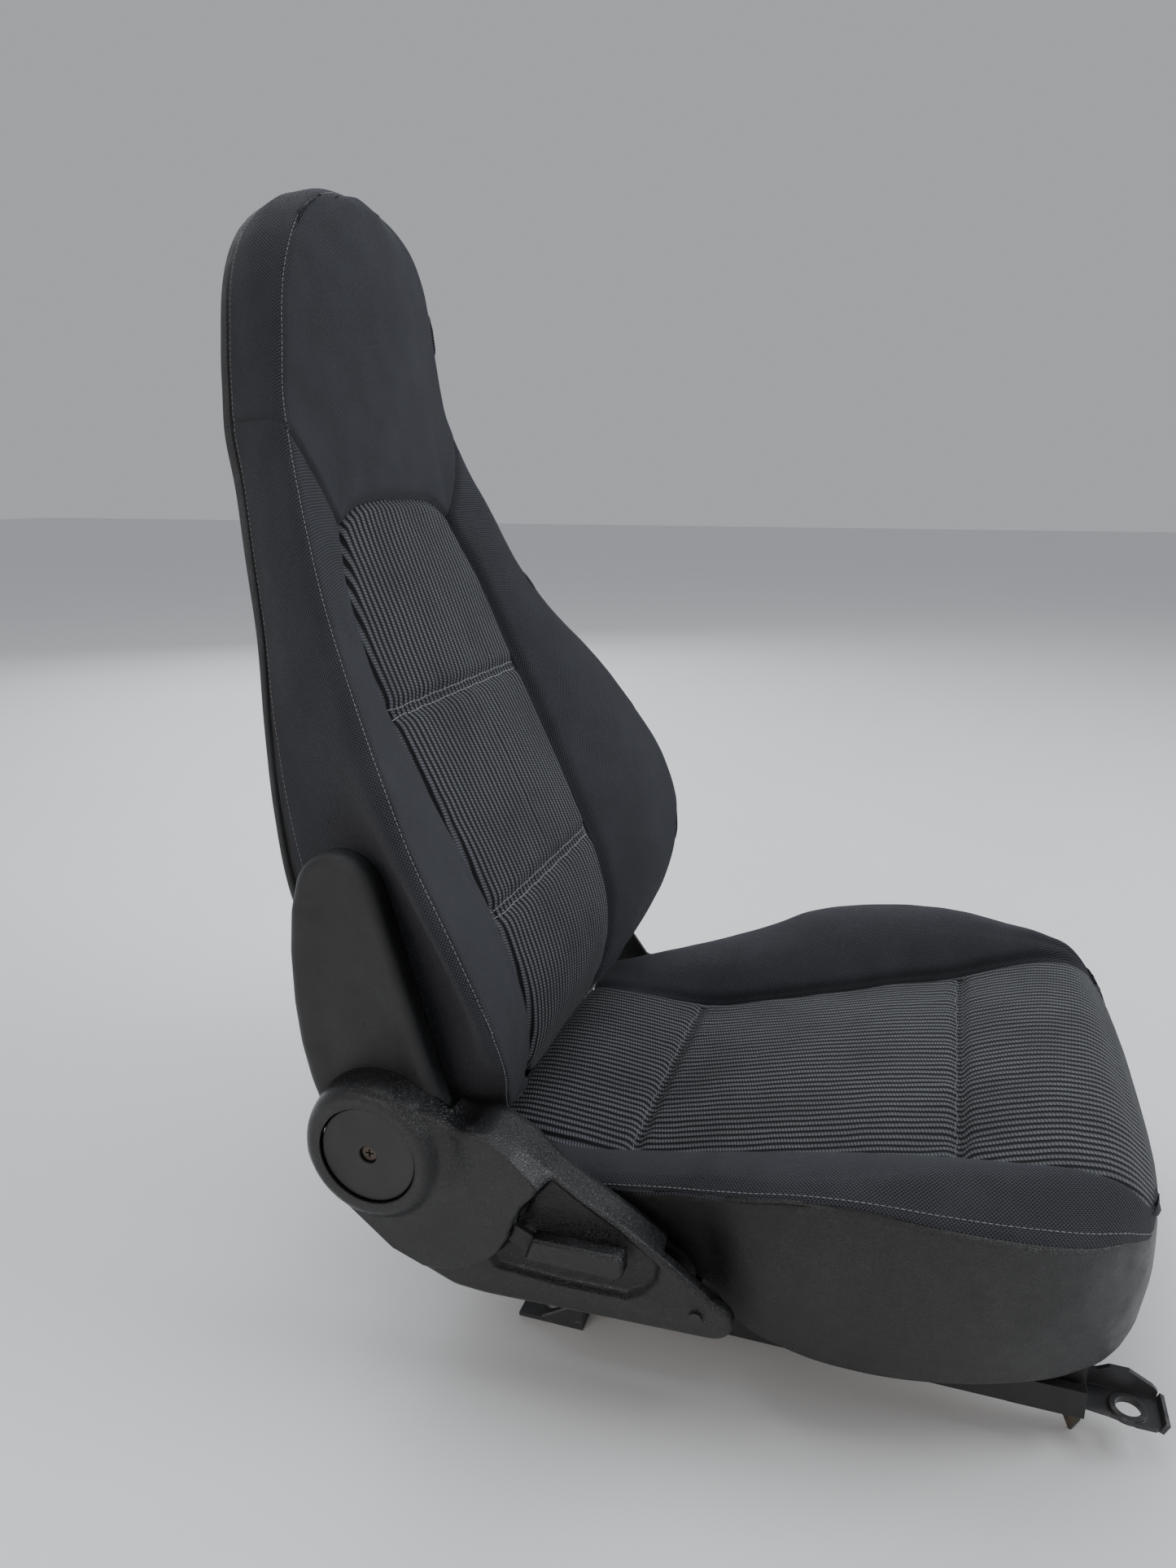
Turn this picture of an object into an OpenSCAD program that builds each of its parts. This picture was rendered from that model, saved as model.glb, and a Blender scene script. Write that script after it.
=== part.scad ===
// Reclining high-back sports seat on sliding floor rails.
// +Z is up, the seat faces -Y, and the occupant's right side is -X.
// The origin lies midway between the two rear floor bolt holes, on the floor plane.

/* [Rails] */
// Distance of each rail's centre from the seat's centre plane
rail_x = 188; // [184:1:192]
// Underside of the lower rails above the floor
rail_z = 26; // [24:1:28]
// Front end of the rails
rail_front_y = -368; // [-378:1:-366]
// Rear end of the lower rails
rail_rear_y = -27; // [-30:1:-26]
// Outside width of a lower rail
rail_w = 36; // [36:1:38]
// Radius of the floor bolt holes
floor_hole_r = 8; // [6:0.5:8]
// Front floor bolt holes, from the rear ones
front_hole_y = -396; // [-398:1:-394]

/* [Hinge] */
// Recline pivot, forward or back of the origin
pivot_y = 95; // [93:1:97]
// Recline pivot above the floor
pivot_z = 172; // [170:1:174]
// Lean of the backrest from upright, degrees
back_rake = 24; // [22:1:26]
// Inner face of the seat's side plates
plate_x = 228; // [228:1:229]
// Radius of the hinge pins
hinge_r = 10; // [9:0.5:11]

/* [Covers] */
// Outer face of the front part of the recliner cover
cover_x = 266; // [265:1:267]
// Outer face of its raised rear part
cover_raised_x = 280; // [279:1:281]
// Radius of the round cap over the hinge
cap_r = 34.5; // [33:0.5:35]

/* [Upholstery] */
// Thickness of the sewn covers and of the rear panel
skin_t = 3; // [2:0.5:4]

/* [Hidden] */
$fn = 48;
far = 1000;

rail_h = 20;
rail_t = 2.5;
strap_t = 3;
plate_t = 4;
gap = 1;
arm_in = plate_x + plate_t + gap;
arm_out = arm_in + plate_t;
upper_flange_z = rail_z + 10.5;
upper_top_z = rail_z + 40;
bolt_flange_t = 3;
pan_z = upper_top_z + bolt_flange_t;
pan_t = 2;
roller_r = 3.9;
seam_gap = 0.25;
tooth_r = 44;
pawl_y = pivot_y - 57;
pawl_z = pivot_z - 32;
lever_y = 22;
lever_z = 138;
boss_x = cover_raised_x + 6;
arm_cover_x = cover_x - 4.5;

// ---- helpers ---------------------------------------------------------------

// Points of an arc in a plane, from angle a0 to a1 in n steps
function arc(cy, cz, r, a0, a1, n = 12) =
    [for (i = [0:n]) let (a = a0 + (a1 - a0) * i / n) [cy + r * cos(a), cz + r * sin(a)]];

// Point between b and c on the smooth curve through a, b, c, d
function curve(a, b, c, d, t) =
    0.5 * (2 * b + (c - a) * t + (2 * a - 5 * b + 4 * c - d) * t * t + (3 * b - a - 3 * c + d) * t * t * t);

// A closed ring of points made smoother, with k points for each one given
function smooth_ring(p, k = 2) =
    let (n = len(p))
    [for (i = [0:n - 1], j = [0:k - 1])
        curve(p[(i + n - 1) % n], p[i], p[(i + 1) % n], p[(i + 2) % n], j / k)];

// Half an outline, from the centre front to the centre rear, mirrored into a ring
function both_sides(half) =
    concat(half, [for (i = [len(half) - 2:-1:1]) [-half[i][0], half[i][1]]]);

// A clockwise ring with each point moved inwards by t
function drawn_in(ring, t) =
    let (n = len(ring))
    [for (i = [0:n - 1]) let (d = ring[(i + 1) % n] - ring[(i + n - 1) % n])
        ring[i] + t * [d[1], -d[0]] / norm(d)];

// Point i of a ring, stepped towards point j by g
function stepped(ring, i, j, g) =
    let (n = len(ring), p = ring[(i + n) % n], q = ring[(j + n) % n])
    p + g * (q - p) / norm(q - p);

// Part of a ring from point a to point b, drawn back a little at both ends
function strip(ring, a, b) =
    let (n = len(ring))
    concat([stepped(ring, a, a + 1, seam_gap)], [for (i = [a + 1:b - 1]) ring[(i + n) % n]],
        [stepped(ring, b, b - 1, seam_gap)]);

// Part of two matching rings, from point a to point b, as the section of a shell between them
function shell_section(outer, inner, a, b) =
    let (back = strip(inner, a, b), m = b - a)
    concat(strip(outer, a, b), [for (i = [m:-1:0]) back[i]]);

// A closed solid through equal rings of points
module loft(rings) {
    n = len(rings[0]);
    m = len(rings);
    points = [for (r = rings, p = r) p];
    sides = [for (i = [0:m - 2], j = [0:n - 1], k = [0, 1])
        let (a = i * n + j, b = i * n + (j + 1) % n)
        k == 0 ? [a, b, b + n] : [a, b + n, a + n]];
    first = [[for (j = [n - 1:-1:0]) j]];
    last = [[for (j = [0:n - 1]) (m - 1) * n + j]];
    polyhedron(points, concat(sides, first, last), convexity = 6);
}

// An outline given in Y and Z, as a plate between two distances from the centre plane
module side_slab(x0, x1, side = -1) {
    low = min(side * x0, side * x1);
    translate([low, 0, 0]) rotate([90, 0, 90]) linear_extrude(abs(x1 - x0)) children();
}

// A round bar across the seat between two distances from the centre plane
module cross_bar(y, z, r, x0, x1, side = -1) {
    low = min(side * x0, side * x1);
    translate([low, y, z]) rotate([0, 90, 0]) cylinder(r = r, h = abs(x1 - x0));
}

// A round bar between two points
module bar(a, b, r) {
    d = b - a;
    translate(a) rotate([0, acos(d[2] / norm(d)), atan2(d[1], d[0])]) cylinder(r = r, h = norm(d));
}

// A bent round tube through a list of points
module bent_bar(p, r) {
    for (i = [0:len(p) - 2]) bar(p[i], p[i + 1], r);
    for (i = [1:len(p) - 2]) translate(p[i]) sphere(r = r + 0.35);
}

// A slotted channel wall or web along a rail
module rail_strip(side, x0, x1, y0, y1, z0, z1) {
    low = min(side * (rail_x + x0), side * (rail_x + x1));
    translate([low, y0, z0]) cube([abs(x1 - x0), y1 - y0, z1 - z0]);
}

// ---- floor rails -----------------------------------------------------------

pin_y = rail_front_y + 4;
foot_rivet_ys = [rail_front_y + 22, rail_front_y + 50, rail_rear_y - 50, rail_rear_y - 16];
rivet_r = 3.5;

module rivet_holes(side, z0, z1) {
    for (y = foot_rivet_ys)
        translate([side * rail_x, y, z0]) cylinder(r = rivet_r, h = z1 - z0);
}

module lower_rail(side) {
    half = rail_w / 2;
    lip = 7.5;
    color("#1d1d1f") difference() {
        union() {
            rail_strip(side, -half, half, rail_front_y, rail_rear_y, rail_z, rail_z + rail_t);
            for (e = [-1, 1]) {
                rail_strip(side, e * half, e * (half - rail_t), rail_front_y, rail_rear_y, rail_z, rail_z + rail_h);
                rail_strip(side, e * half, e * (half - lip), rail_front_y, rail_rear_y,
                    rail_z + rail_h - rail_t, rail_z + rail_h);
            }
        }
        rivet_holes(side, rail_z - 1, rail_z + rail_t + 1);
        // notches for the latch fingers, in the wall that faces the seat's centre
        for (i = [0:9])
            rail_strip(side, -half - 1, -half + lip + 1, -296 + i * 18, -288 + i * 18, rail_z + 12, rail_z + rail_h + 1);
    }
}

// Outline of a front foot's pad in plan, with +X away from the seat's centre
function foot_outline() = [[-18, -1], [-15, 2], [-15, 46], [15, 46], [15, 2], [6, -1], [8, -16], [12, -32],
    [12, -43], [8, -49], [-12, -49], [-18, -44]];

module front_foot(side) {
    z0 = rail_z - strap_t;
    color("#2a2a2d") difference() {
        union() {
            translate([side * rail_x, rail_front_y, z0]) linear_extrude(strap_t)
                scale([side, 1]) polygon(foot_outline());
            // turned-up flange along the inner edge, falling away to the front
            side_slab(rail_x - 18, rail_x - 14.5, side) translate([rail_front_y, z0])
                polygon([[-1, 0], [-1, 13], [-10, 15], [-17, 19], [-29, 19], [-44, 11], [-47, 8], [-46, 0]]);
            // curled front lip
            translate([side * (rail_x - 2), rail_front_y - 45, z0])
                rotate([24, 0, 0]) translate([-13, -3, 0]) cube([26, 3, 8]);
            // pressed collar round the hole
            translate([side * rail_x, front_hole_y, z0]) cylinder(r = floor_hole_r + 3.5, h = strap_t + 1.5);
        }
        translate([side * rail_x, front_hole_y, z0 - 1]) cylinder(r = floor_hole_r, h = strap_t + 4);
        rivet_holes(side, z0 - 1, rail_z + 1);
        translate([side * rail_x, pin_y, z0 - 1]) cylinder(r = 4, h = strap_t + 2);
    }
}

module rear_foot(side) {
    w = 38;
    z0 = rail_z - strap_t;
    color("#2a2a2d") difference() {
        union() {
            translate([side * rail_x - w / 2, rail_rear_y - 62, z0]) cube([w, 62, strap_t]);
            translate([side * rail_x - w / 2, rail_rear_y - strap_t, 0]) cube([w, strap_t, z0 + strap_t]);
            translate([side * rail_x - w / 2, rail_rear_y - strap_t, 0]) cube([w, 50, strap_t]);
            for (e = [-1, 1])
                translate([side * rail_x + e * (w / 2 - 1.5) - 1.5, 0, 0]) rotate([90, 0, 90]) linear_extrude(3)
                    polygon([[rail_rear_y - strap_t, 0], [rail_rear_y + 34, 0], [rail_rear_y, z0 - 2],
                        [rail_rear_y - strap_t, z0]]);
        }
        translate([side * rail_x, 0, -1]) cylinder(r = floor_hole_r, h = strap_t + 2);
        rivet_holes(side, z0 - 1, rail_z + 1);
    }
}

module locating_pins() {
    top = rail_z - 0.5;
    z0 = rail_z - strap_t;
    color("#5a4b3a") for (s = [-1, 1]) translate([s * rail_x, pin_y, 0]) {
        cylinder(r1 = 1.4, r2 = 5.6, h = 10);
        translate([0, 0, 10]) cylinder(r = 5.6, h = 8);
        translate([0, 0, 18]) cylinder(r = 7.5, h = z0 - 18);
        translate([0, 0, z0]) cylinder(r = 3.95, h = top - z0);
    }
}

module foot_rivets() {
    z0 = rail_z - strap_t;
    color("#6a6a6c") for (s = [-1, 1], y = foot_rivet_ys) translate([s * rail_x, y, 0]) {
        translate([0, 0, z0 - 2.5]) cylinder(r1 = 4.5, r2 = 6.5, h = 2.5);
        translate([0, 0, z0]) cylinder(r = rivet_r - 0.05, h = rail_z + rail_t - z0 - 0.2);
    }
}

// ---- sliding parts ---------------------------------------------------------

upper_rear_y = rail_rear_y + 7;
web = 8;

module upper_rail(side) {
    y0 = rail_front_y;
    y1 = upper_rear_y;
    flange = 12.5;
    t = 2.5;
    color("#161618") difference() {
        union() {
            rail_strip(side, -web, web, y0, y1, upper_top_z - t, upper_top_z);
            for (e = [-1, 1]) {
                rail_strip(side, e * web, e * (web - t), y0, y1, upper_flange_z, upper_top_z);
                rail_strip(side, e * flange, e * (web - t), y0, y1, upper_flange_z, upper_flange_z + t);
            }
        }
        for (y = rail_bolt_ys)
            translate([side * rail_x, y, upper_top_z - t - 1]) cylinder(r = 4, h = t + 2);
    }
}

rail_bolt_ys = [-325, -95, -45];
roller_ys = [rail_front_y + 36, rail_front_y + 190];

module rail_rollers() {
    z = rail_z + rail_t + 0.05 + roller_r;
    color("#9a9a9c") for (s = [-1, 1], y = roller_ys) cross_bar(y, z, roller_r, rail_x - 11, rail_x + 11, s);
}

module roller_cages() {
    z = rail_z + rail_t + 0.05 + roller_r;
    color("#c8c4b8") for (s = [-1, 1]) difference() {
        translate([s * rail_x - 13.5, roller_ys[0] - 8, z - 1.2])
            cube([27, roller_ys[1] - roller_ys[0] + 16, 2.4]);
        for (y = roller_ys) translate([s * rail_x - 11.4, y - roller_r - 0.3, z - 3]) cube([22.8, 2 * roller_r + 0.6, 6]);
    }
}

// ---- seat base -------------------------------------------------------------

// Outline of a side plate in Y and Z; the recliner's plate is the tall one
function side_plate_outline(side) = concat(
    arc(pivot_y, pivot_z, 36, -35, side < 0 ? 128 : 205, 18),
    side < 0 ? [[46, 172], [4, 158], [-60, 132], [-112, 104], [-118, 97], [-118, upper_top_z]]
             : [[56, 126], [40, 104], [18, 96], [-60, 92], [-112, 90], [-118, 86], [-118, upper_top_z]],
    [[98, upper_top_z]],
    arc(94, upper_top_z + 18, 18, -80, 0, 6));

module side_plate(side) {
    color("#202022") difference() {
        union() {
            side_slab(plate_x, plate_x + plate_t, side) polygon(side_plate_outline(side));
            // foot flange, turned in over the sliding rail
            side_slab(rail_x - 12, plate_x + 0.5, side)
                polygon([[-118, upper_top_z], [-24, upper_top_z], [-24, pan_z], [-118, pan_z]]);
        }
        cross_bar(pivot_y, pivot_z, hinge_r, plate_x - 2, plate_x + plate_t + 2, side);
        cross_bar(94, upper_top_z + 18, 11, plate_x - 2, plate_x + plate_t + 2, side);
        if (side < 0) {
            cross_bar(pawl_y, pawl_z, 4, plate_x - 2, plate_x + plate_t + 2, side);
            cross_bar(lever_y, lever_z, 4, plate_x - 2, plate_x + plate_t + 2, side);
        }
        for (y = rail_bolt_ys)
            translate([side * rail_x, y, upper_top_z - 1]) cylinder(r = 4, h = bolt_flange_t + 2);
    }
}

module rear_cross_tube() {
    color("#202022") difference() {
        cross_bar(94, upper_top_z + 18, 10.95, -plate_x - plate_t, plate_x + plate_t);
        cross_bar(94, upper_top_z + 18, 8.5, -plate_x - plate_t - 1, plate_x + plate_t + 1);
    }
}

// Side view of the pan's sheet: flat under the hips, rising under the thighs
function pan_line(lift) = [[64, pan_z + lift], [-235, pan_z + lift], [-352, pan_z + 18 + lift]];

module cushion_pan() {
    half = 196;
    color("#242426") {
        intersection() {
            side_slab(-half, half) polygon(concat(pan_line(0), [[-354, pan_z + 26], [-350, pan_z + 26]],
                [[-350, pan_z + 20], [-235, pan_z + pan_t], [64, pan_z + pan_t]]));
            // the front corners taper in
            translate([0, 0, pan_z - 5]) linear_extrude(60)
                polygon([[-half, 70], [half, 70], [half, -306], [160, -360], [-160, -360], [-half, -306]]);
        }
        for (y = [-40, -130, -200]) difference() {
            translate([0, y, pan_z - 2.2]) cylinder(r = 26, h = 2.4);
            translate([0, y, pan_z - 4]) cylinder(r = 20, h = 4.05);
        }
    }
}

module pan_risers() {
    color("#202022") for (s = [-1, 1]) difference() {
        side_slab(rail_x - 12, rail_x + 12, s)
            polygon([[-344, upper_top_z], [-306, upper_top_z], [-306, pan_z + 9.5], [-344, pan_z + 15.5]]);
        translate([s * rail_x, rail_bolt_ys[0], upper_top_z - 1]) cylinder(r = 4, h = 60);
        translate([s * rail_x, rail_bolt_ys[0], upper_top_z + 4]) cylinder(r = 7.8, h = 60);
    }
}

module rail_bolts() {
    color("#8c8a80") for (s = [-1, 1]) {
        for (y = [rail_bolt_ys[1], rail_bolt_ys[2]]) translate([s * rail_x, y, 0]) {
            translate([0, 0, upper_top_z - 8]) cylinder(r = 3.9, h = 8 + bolt_flange_t);
            translate([0, 0, upper_top_z - 8]) cylinder(r = 5.2, h = 5.3);
        }
        translate([s * rail_x, rail_bolt_ys[0], 0]) {
            translate([0, 0, upper_top_z - 8]) cylinder(r = 3.9, h = 12);
            translate([0, 0, upper_top_z - 8]) cylinder(r = 5.2, h = 5.3);
            translate([0, 0, upper_top_z + 4.05]) cylinder(r = 7, h = 5);
        }
    }
}

module hinge_pin_right() {
    color("#8c8a80") {
        cross_bar(pivot_y, pivot_z, hinge_r - 0.03, plate_x - 3, arm_out + 1);
        cross_bar(pivot_y, pivot_z, 15, arm_out + 0.5, arm_out + 3);
        difference() {
            cross_bar(pivot_y, pivot_z, 6, arm_out + 3, arm_out + 20);
            cross_bar(pivot_y, pivot_z, 2.5, arm_out + 6, arm_out + 21);
        }
    }
}

module hinge_pin_left() {
    color("#8c8a80") {
        cross_bar(pivot_y, pivot_z, hinge_r - 0.03, plate_x - 3, arm_out + 1, 1);
        cross_bar(pivot_y, pivot_z, 15, arm_out + 0.5, arm_out + 4, 1);
    }
}

// ---- cushion ---------------------------------------------------------------

// Rows from rear to front: y, then half width and height of the insert's edge, the bolster's
// ridge, its outer shoulder, the side's middle and the side's lower edge, then the underside
cushion_rows = [
    [70, 128, 101, 178, 104, 198, 98, 205, 92, 200, 82, 71.4],
    [40, 132, 101, 190, 113, 211, 107, 216, 96, 210, 82, 71.4],
    [7, 135, 101, 200, 125, 217, 118, 221, 101, 214, 82, 71.4],
    [-56, 139, 102, 206, 147, 225, 139, 223, 112, 218, 82, 71.4],
    [-108, 144, 115, 222, 166, 236, 155, 222, 118, 217, 82, 71.4],
    [-126, 146, 119, 228, 174, 243, 162, 224, 117, 221, 78, 71.4],
    [-150, 149, 125, 232, 181, 250, 171, 245, 115, 240, 70, 71.4],
    [-185, 153, 133, 234, 189, 254, 180, 251, 114, 245, 61, 71.4],
    [-225, 158, 144, 230, 195, 255, 182, 252, 113, 245, 57, 71.4],
    [-270, 162, 154, 219, 199, 252, 178, 249, 112, 242, 59, 77.2],
    [-317, 167, 167, 205, 197, 244, 174, 242, 114, 232, 63, 84.6],
    [-356, 172, 175, 192, 190, 228, 168, 228, 116, 215, 66, 98.5],
    [-386, 168, 173, 176, 179, 202, 160, 206, 116, 190, 74, 100],
    [-404, 132, 163, 142, 164, 160, 149, 165, 120, 150, 90, 106],
    [-415, 66, 148, 78, 148, 96, 140, 104, 125, 92, 107, 116]
];

function cushion_ring(r, inset) =
    let (half = [
        [0, r[2] + 5], [r[1] * 0.55, r[2] + 4], [r[1], r[2]],
        [r[1] + (r[3] - r[1]) * 0.5, r[2] + (r[4] - r[2]) * 0.62],
        [r[3], r[4]], [r[5], r[6]], [r[7], r[8]], [r[9], r[10]],
        [r[9] * 0.86, r[11] + 1], [r[9] * 0.4, r[11]], [0, r[11]]])
    let (flat = smooth_ring(both_sides(half), 2))
    [for (p = drawn_in(flat, inset)) [p[0], r[0], p[1]]];

module cushion_solid(inset) {
    last = len(cushion_rows) - 1;
    loft([for (i = [0:last])
        let (row = cushion_rows[i])
        let (shift = i == 0 ? -inset : i == last ? inset : 0)
        [for (p = cushion_ring(row, inset)) [p[0], p[1] + shift, p[2]]]]);
}

// Part of the cushion's skin, from point a to point b of each ring
module cushion_skin(a, b) {
    loft([for (row = cushion_rows)
        shell_section(cushion_ring(row, 0), cushion_ring(row, skin_t), a, b)]);
}

cushion_seam = 10;

module cushion_foam() { color("#b8a878") cushion_solid(skin_t + 2.5); }

module cushion_cover() {
    color("#25262b") cushion_skin(-cushion_seam, cushion_seam);
}

module cushion_skirt() {
    color("#1a1a1c") {
        cushion_skin(cushion_seam, cushion_seam + 7);
        cushion_skin(-cushion_seam - 7, -cushion_seam);
    }
}

// ---- recliner covers, lever and pawl ---------------------------------------

// Outline of the whole recliner cover in Y and Z
function cover_outline() = concat(
    arc(pivot_y, pivot_z, 52, -58, 118, 20),
    [[42, 199], [32, 191], [23, 201], [10, 199], [-8, 189], [-28, 171], [-50, 157], [-80, 140],
        [-108, 122], [-134, 103]],
    arc(-137, 86, 13, 60, 265, 8),
    [[-40, 69], [20, 66], [44, 67], [64, 75], [82, 83]]);

// Outline of its raised rear part
function raised_outline() = concat(
    arc(pivot_y, pivot_z, 44, -58, 118, 20),
    [[44, 194], [32, 188], [23, 198], [10, 196], [-8, 186], [-22, 174], [-27, 168]],
    [[-23, 161], [-15, 152], [-10, 141], [-5, 126], [2, 114], [11, 104], [26, 95], [44, 89], [60, 88],
        [76, 94]]);

// Outline of the hand pocket round the lever
function pocket_outline(grow) = [[-102 - grow, 119], [-74, 138.5 + grow], [-44, 156 + grow], [-27, 167 + grow],
    [-8, 160], [10, 112], [9 + grow, 92 - grow], [-34, 88 - grow], [-80, 89 - grow], [-94 - grow, 101]];

module cover_wall(x0, x1, low_y, high_y) {
    side_slab(x0, x1) intersection() {
        difference() {
            polygon(cover_outline());
            offset(delta = -3) polygon(cover_outline());
        }
        difference() {
            translate([low_y, 0]) square([high_y - low_y, far]);
            translate([pivot_y, pivot_z]) circle(r = 57);
            translate([46, pivot_z - 20]) square([far, far]);
        }
    }
}

module recliner_cover() {
    lip = 2;
    top = boss_x - cover_x + 1;
    color("#141415") difference() {
        union() {
            side_slab(cover_x - 3, cover_x) polygon(cover_outline());
            side_slab(cover_x - 6, cover_x - 1) polygon(pocket_outline(2));
            side_slab(cover_x - 3, cover_raised_x) polygon(raised_outline());
            cover_wall(plate_x + 10, cover_x - 1, -104, far);
            cover_wall(cover_x - 9, cover_x - 1, -far, -100);
            translate([1 - cover_x, pivot_y, pivot_z]) rotate([0, -90, 0]) rotate_extrude($fn = 72)
                polygon([[cap_r - 6, 0], [51, 0], [50.5, 5], [49, 9], [46.5, 13], [44.5, 16.5], [42, top - 1],
                    [39.5, top], [cap_r + 2.5, top], [cap_r - 6, top - lip]]);
        }
        // hollow behind the raised part
        side_slab(cover_x - 4, cover_raised_x - 3) offset(delta = -3) polygon(raised_outline());
        // hand pocket round the lever
        side_slab(cover_x - 3.5, cover_x + 1) difference() {
            polygon(pocket_outline(0));
            polygon(raised_outline());
        }
        // opening over the hinge that the cap closes
        cross_bar(pivot_y, pivot_z, cap_r - 3, cover_x - 5, boss_x + 2);
        cross_bar(pivot_y, pivot_z, cap_r + 1, cover_x + 9.5, boss_x + 2);
        // slot that the lever comes out of
        side_slab(cover_x + 1, cover_raised_x - 3.5) polygon([[-36, 110], [6, 110], [2, 146], [-36, 158]]);
        // screw hole near the front tip
        cross_bar(-126, 88, 2.2, cover_x - 10, cover_x + 2);
    }
}

module pivot_cap() {
    color("#161614") difference() {
        union() {
            cross_bar(pivot_y, pivot_z, cap_r, boss_x - 7, boss_x - 2.5);
            cross_bar(pivot_y, pivot_z, 9, arm_out + 20.2, boss_x - 3);
        }
        cross_bar(pivot_y, pivot_z, 6.2, boss_x - 8, boss_x);
        cross_bar(pivot_y, pivot_z, 2.6, arm_out + 18, boss_x);
    }
}

module pivot_cap_screw() {
    color("#7a7a7c") difference() {
        union() {
            cross_bar(pivot_y, pivot_z, 5.6, boss_x - 7.9, boss_x - 5);
            cross_bar(pivot_y, pivot_z, 2.45, arm_out + 8, boss_x - 7);
        }
        for (a = [0, 90]) translate([-boss_x + 5, pivot_y, pivot_z]) rotate([a, 0, 0])
            translate([-1, -3, -0.6]) cube([3, 6, 1.2]);
    }
}

module cover_screws() {
    color("#3a3a3c") {
        cross_bar(-126, 88, 2.1, cover_x - 9, cover_x + 0.05);
        cross_bar(-126, 88, 4.5, cover_x + 0.01, cover_x + 2);
    }
}

module inner_hinge_cover() {
    color("#161618") difference() {
        union() {
            cross_bar(pivot_y, pivot_z, 40, arm_out + 5, arm_out + 13, 1);
        }
        cross_bar(pivot_y, pivot_z, 37, arm_out + 4, arm_out + 10.5, 1);
    }
}

// A flat spiral of strip steel, r growing evenly with the turn
spring_turns = 3.2;
function spiral(r0, pitch, turns, n) =
    [for (i = [0:n]) let (a = i * 360 * turns / n, r = r0 + pitch * turns * i / n) [r * cos(a), r * sin(a)]];

module return_spring() {
    n = 90;
    inner = spiral(7.2, 5, spring_turns, n);
    outer = spiral(9.2, 5, spring_turns, n);
    color("#4a4a50") side_slab(arm_out + 4, arm_out + 11) translate([pivot_y, pivot_z])
        polygon(concat(inner, [for (i = [n:-1:0]) outer[i]]));
}

module lever_pin() {
    color("#8c8a80") {
        cross_bar(lever_y, lever_z, 3.95, plate_x - 2, cover_raised_x - 5);
        cross_bar(lever_y, lever_z, 6, plate_x - 4, plate_x - 0.2);
    }
}

module pawl_pin() {
    color("#8c8a80") {
        cross_bar(pawl_y, pawl_z, 3.95, plate_x - 2, arm_out + 2);
        cross_bar(pawl_y, pawl_z, 6, plate_x - 4, plate_x - 0.2);
        cross_bar(pawl_y, pawl_z, 6, arm_out + 0.3, arm_out + 1.2);
    }
}

module recliner_lever() {
    outer_in = cover_x + 3;
    outer_out = outer_in + 4;
    color("#2c2c2e") difference() {
        union() {
            cross_bar(lever_y, lever_z, 7, arm_out + 1.5, outer_out);
            // arm that carries the handle
            side_slab(outer_in, outer_out) polygon(concat(
                arc(lever_y, lever_z, 9, -90, 90, 8), [[-18, lever_z - 10], [-75, lever_z - 11]],
                [[-75, lever_z - 20], [-14, lever_z - 21]]));
            // finger that moves the pawl
            side_slab(arm_out + 1.5, arm_out + 4.5) polygon(concat(
                arc(lever_y, lever_z, 9, 90, 270, 8), [[40, lever_z - 18], [45, lever_z - 14], [38, lever_z - 4]]));
        }
        cross_bar(lever_y, lever_z, 4, arm_out, cover_raised_x);
    }
}

// Side outline of the handle: a blade with a rounded front end
function handle_outline(grow) = concat(
    [[-13, 113 - grow], [-19, 130.5 + grow]],
    arc(-76.5, 126 + grow, 4.5, 90, 180, 6),
    arc(-75, 119 - grow, 6, 180, 270, 6));

module lever_handle() {
    color("#171716") difference() {
        union() {
            side_slab(cover_x + 1.5, cover_x + 12) polygon(handle_outline(0));
            side_slab(cover_x + 12, cover_x + 14) offset(delta = -1.5) polygon(handle_outline(0));
        }
        side_slab(cover_x + 2.9, cover_x + 7.1) polygon([[-78, lever_z - 22], [-8, lever_z - 22],
            [-8, lever_z - 9.7], [-78, lever_z - 9.7]]);
    }
}

module recliner_pawl() {
    clear_r = tooth_r + 0.8;
    color("#77777a") difference() {
        side_slab(arm_in, arm_out) union() {
            translate([pawl_y, pawl_z]) circle(r = 9);
            polygon(concat(arc(pivot_y, pivot_z, clear_r - 3, 216, 250, 10), arc(pivot_y, pivot_z, 57, 250, 222, 8),
                [[pawl_y + 2, pawl_z - 7], [pawl_y - 2, pawl_z + 7]]));
        }
        cross_bar(pivot_y, pivot_z, clear_r, arm_in - 1, arm_out + 1);
        cross_bar(pawl_y, pawl_z, 4, arm_in - 1, arm_out + 1);
    }
}

// ---- slide release ---------------------------------------------------------

bar_y = -232;
bar_z = 56;
bar_half = 132;

module slide_bar() {
    front = -346;
    color("#1e1e20") {
        bent_bar([[-bar_half - 22, bar_y, bar_z], [-bar_half, bar_y, bar_z], [-bar_half, -300, bar_z - 6],
            [-bar_half + 12, front, bar_z - 4], [bar_half - 12, front, bar_z - 4], [bar_half, -300, bar_z - 6],
            [bar_half, bar_y, bar_z], [bar_half + 22, bar_y, bar_z]], 5);
    }
}

// Fingers that lie across the notches of the lower rails
module latch_plates() {
    y = -292;
    top = rail_z + rail_h;
    color("#77777a") for (s = [-1, 1]) {
        low = s < 0 ? -rail_x + 13.5 : bar_half + 4.95;
        translate([low, y - 3.5, top + 0.8]) cube([rail_x - 13.5 - bar_half - 4.95, 7, 3]);
    }
}

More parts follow.
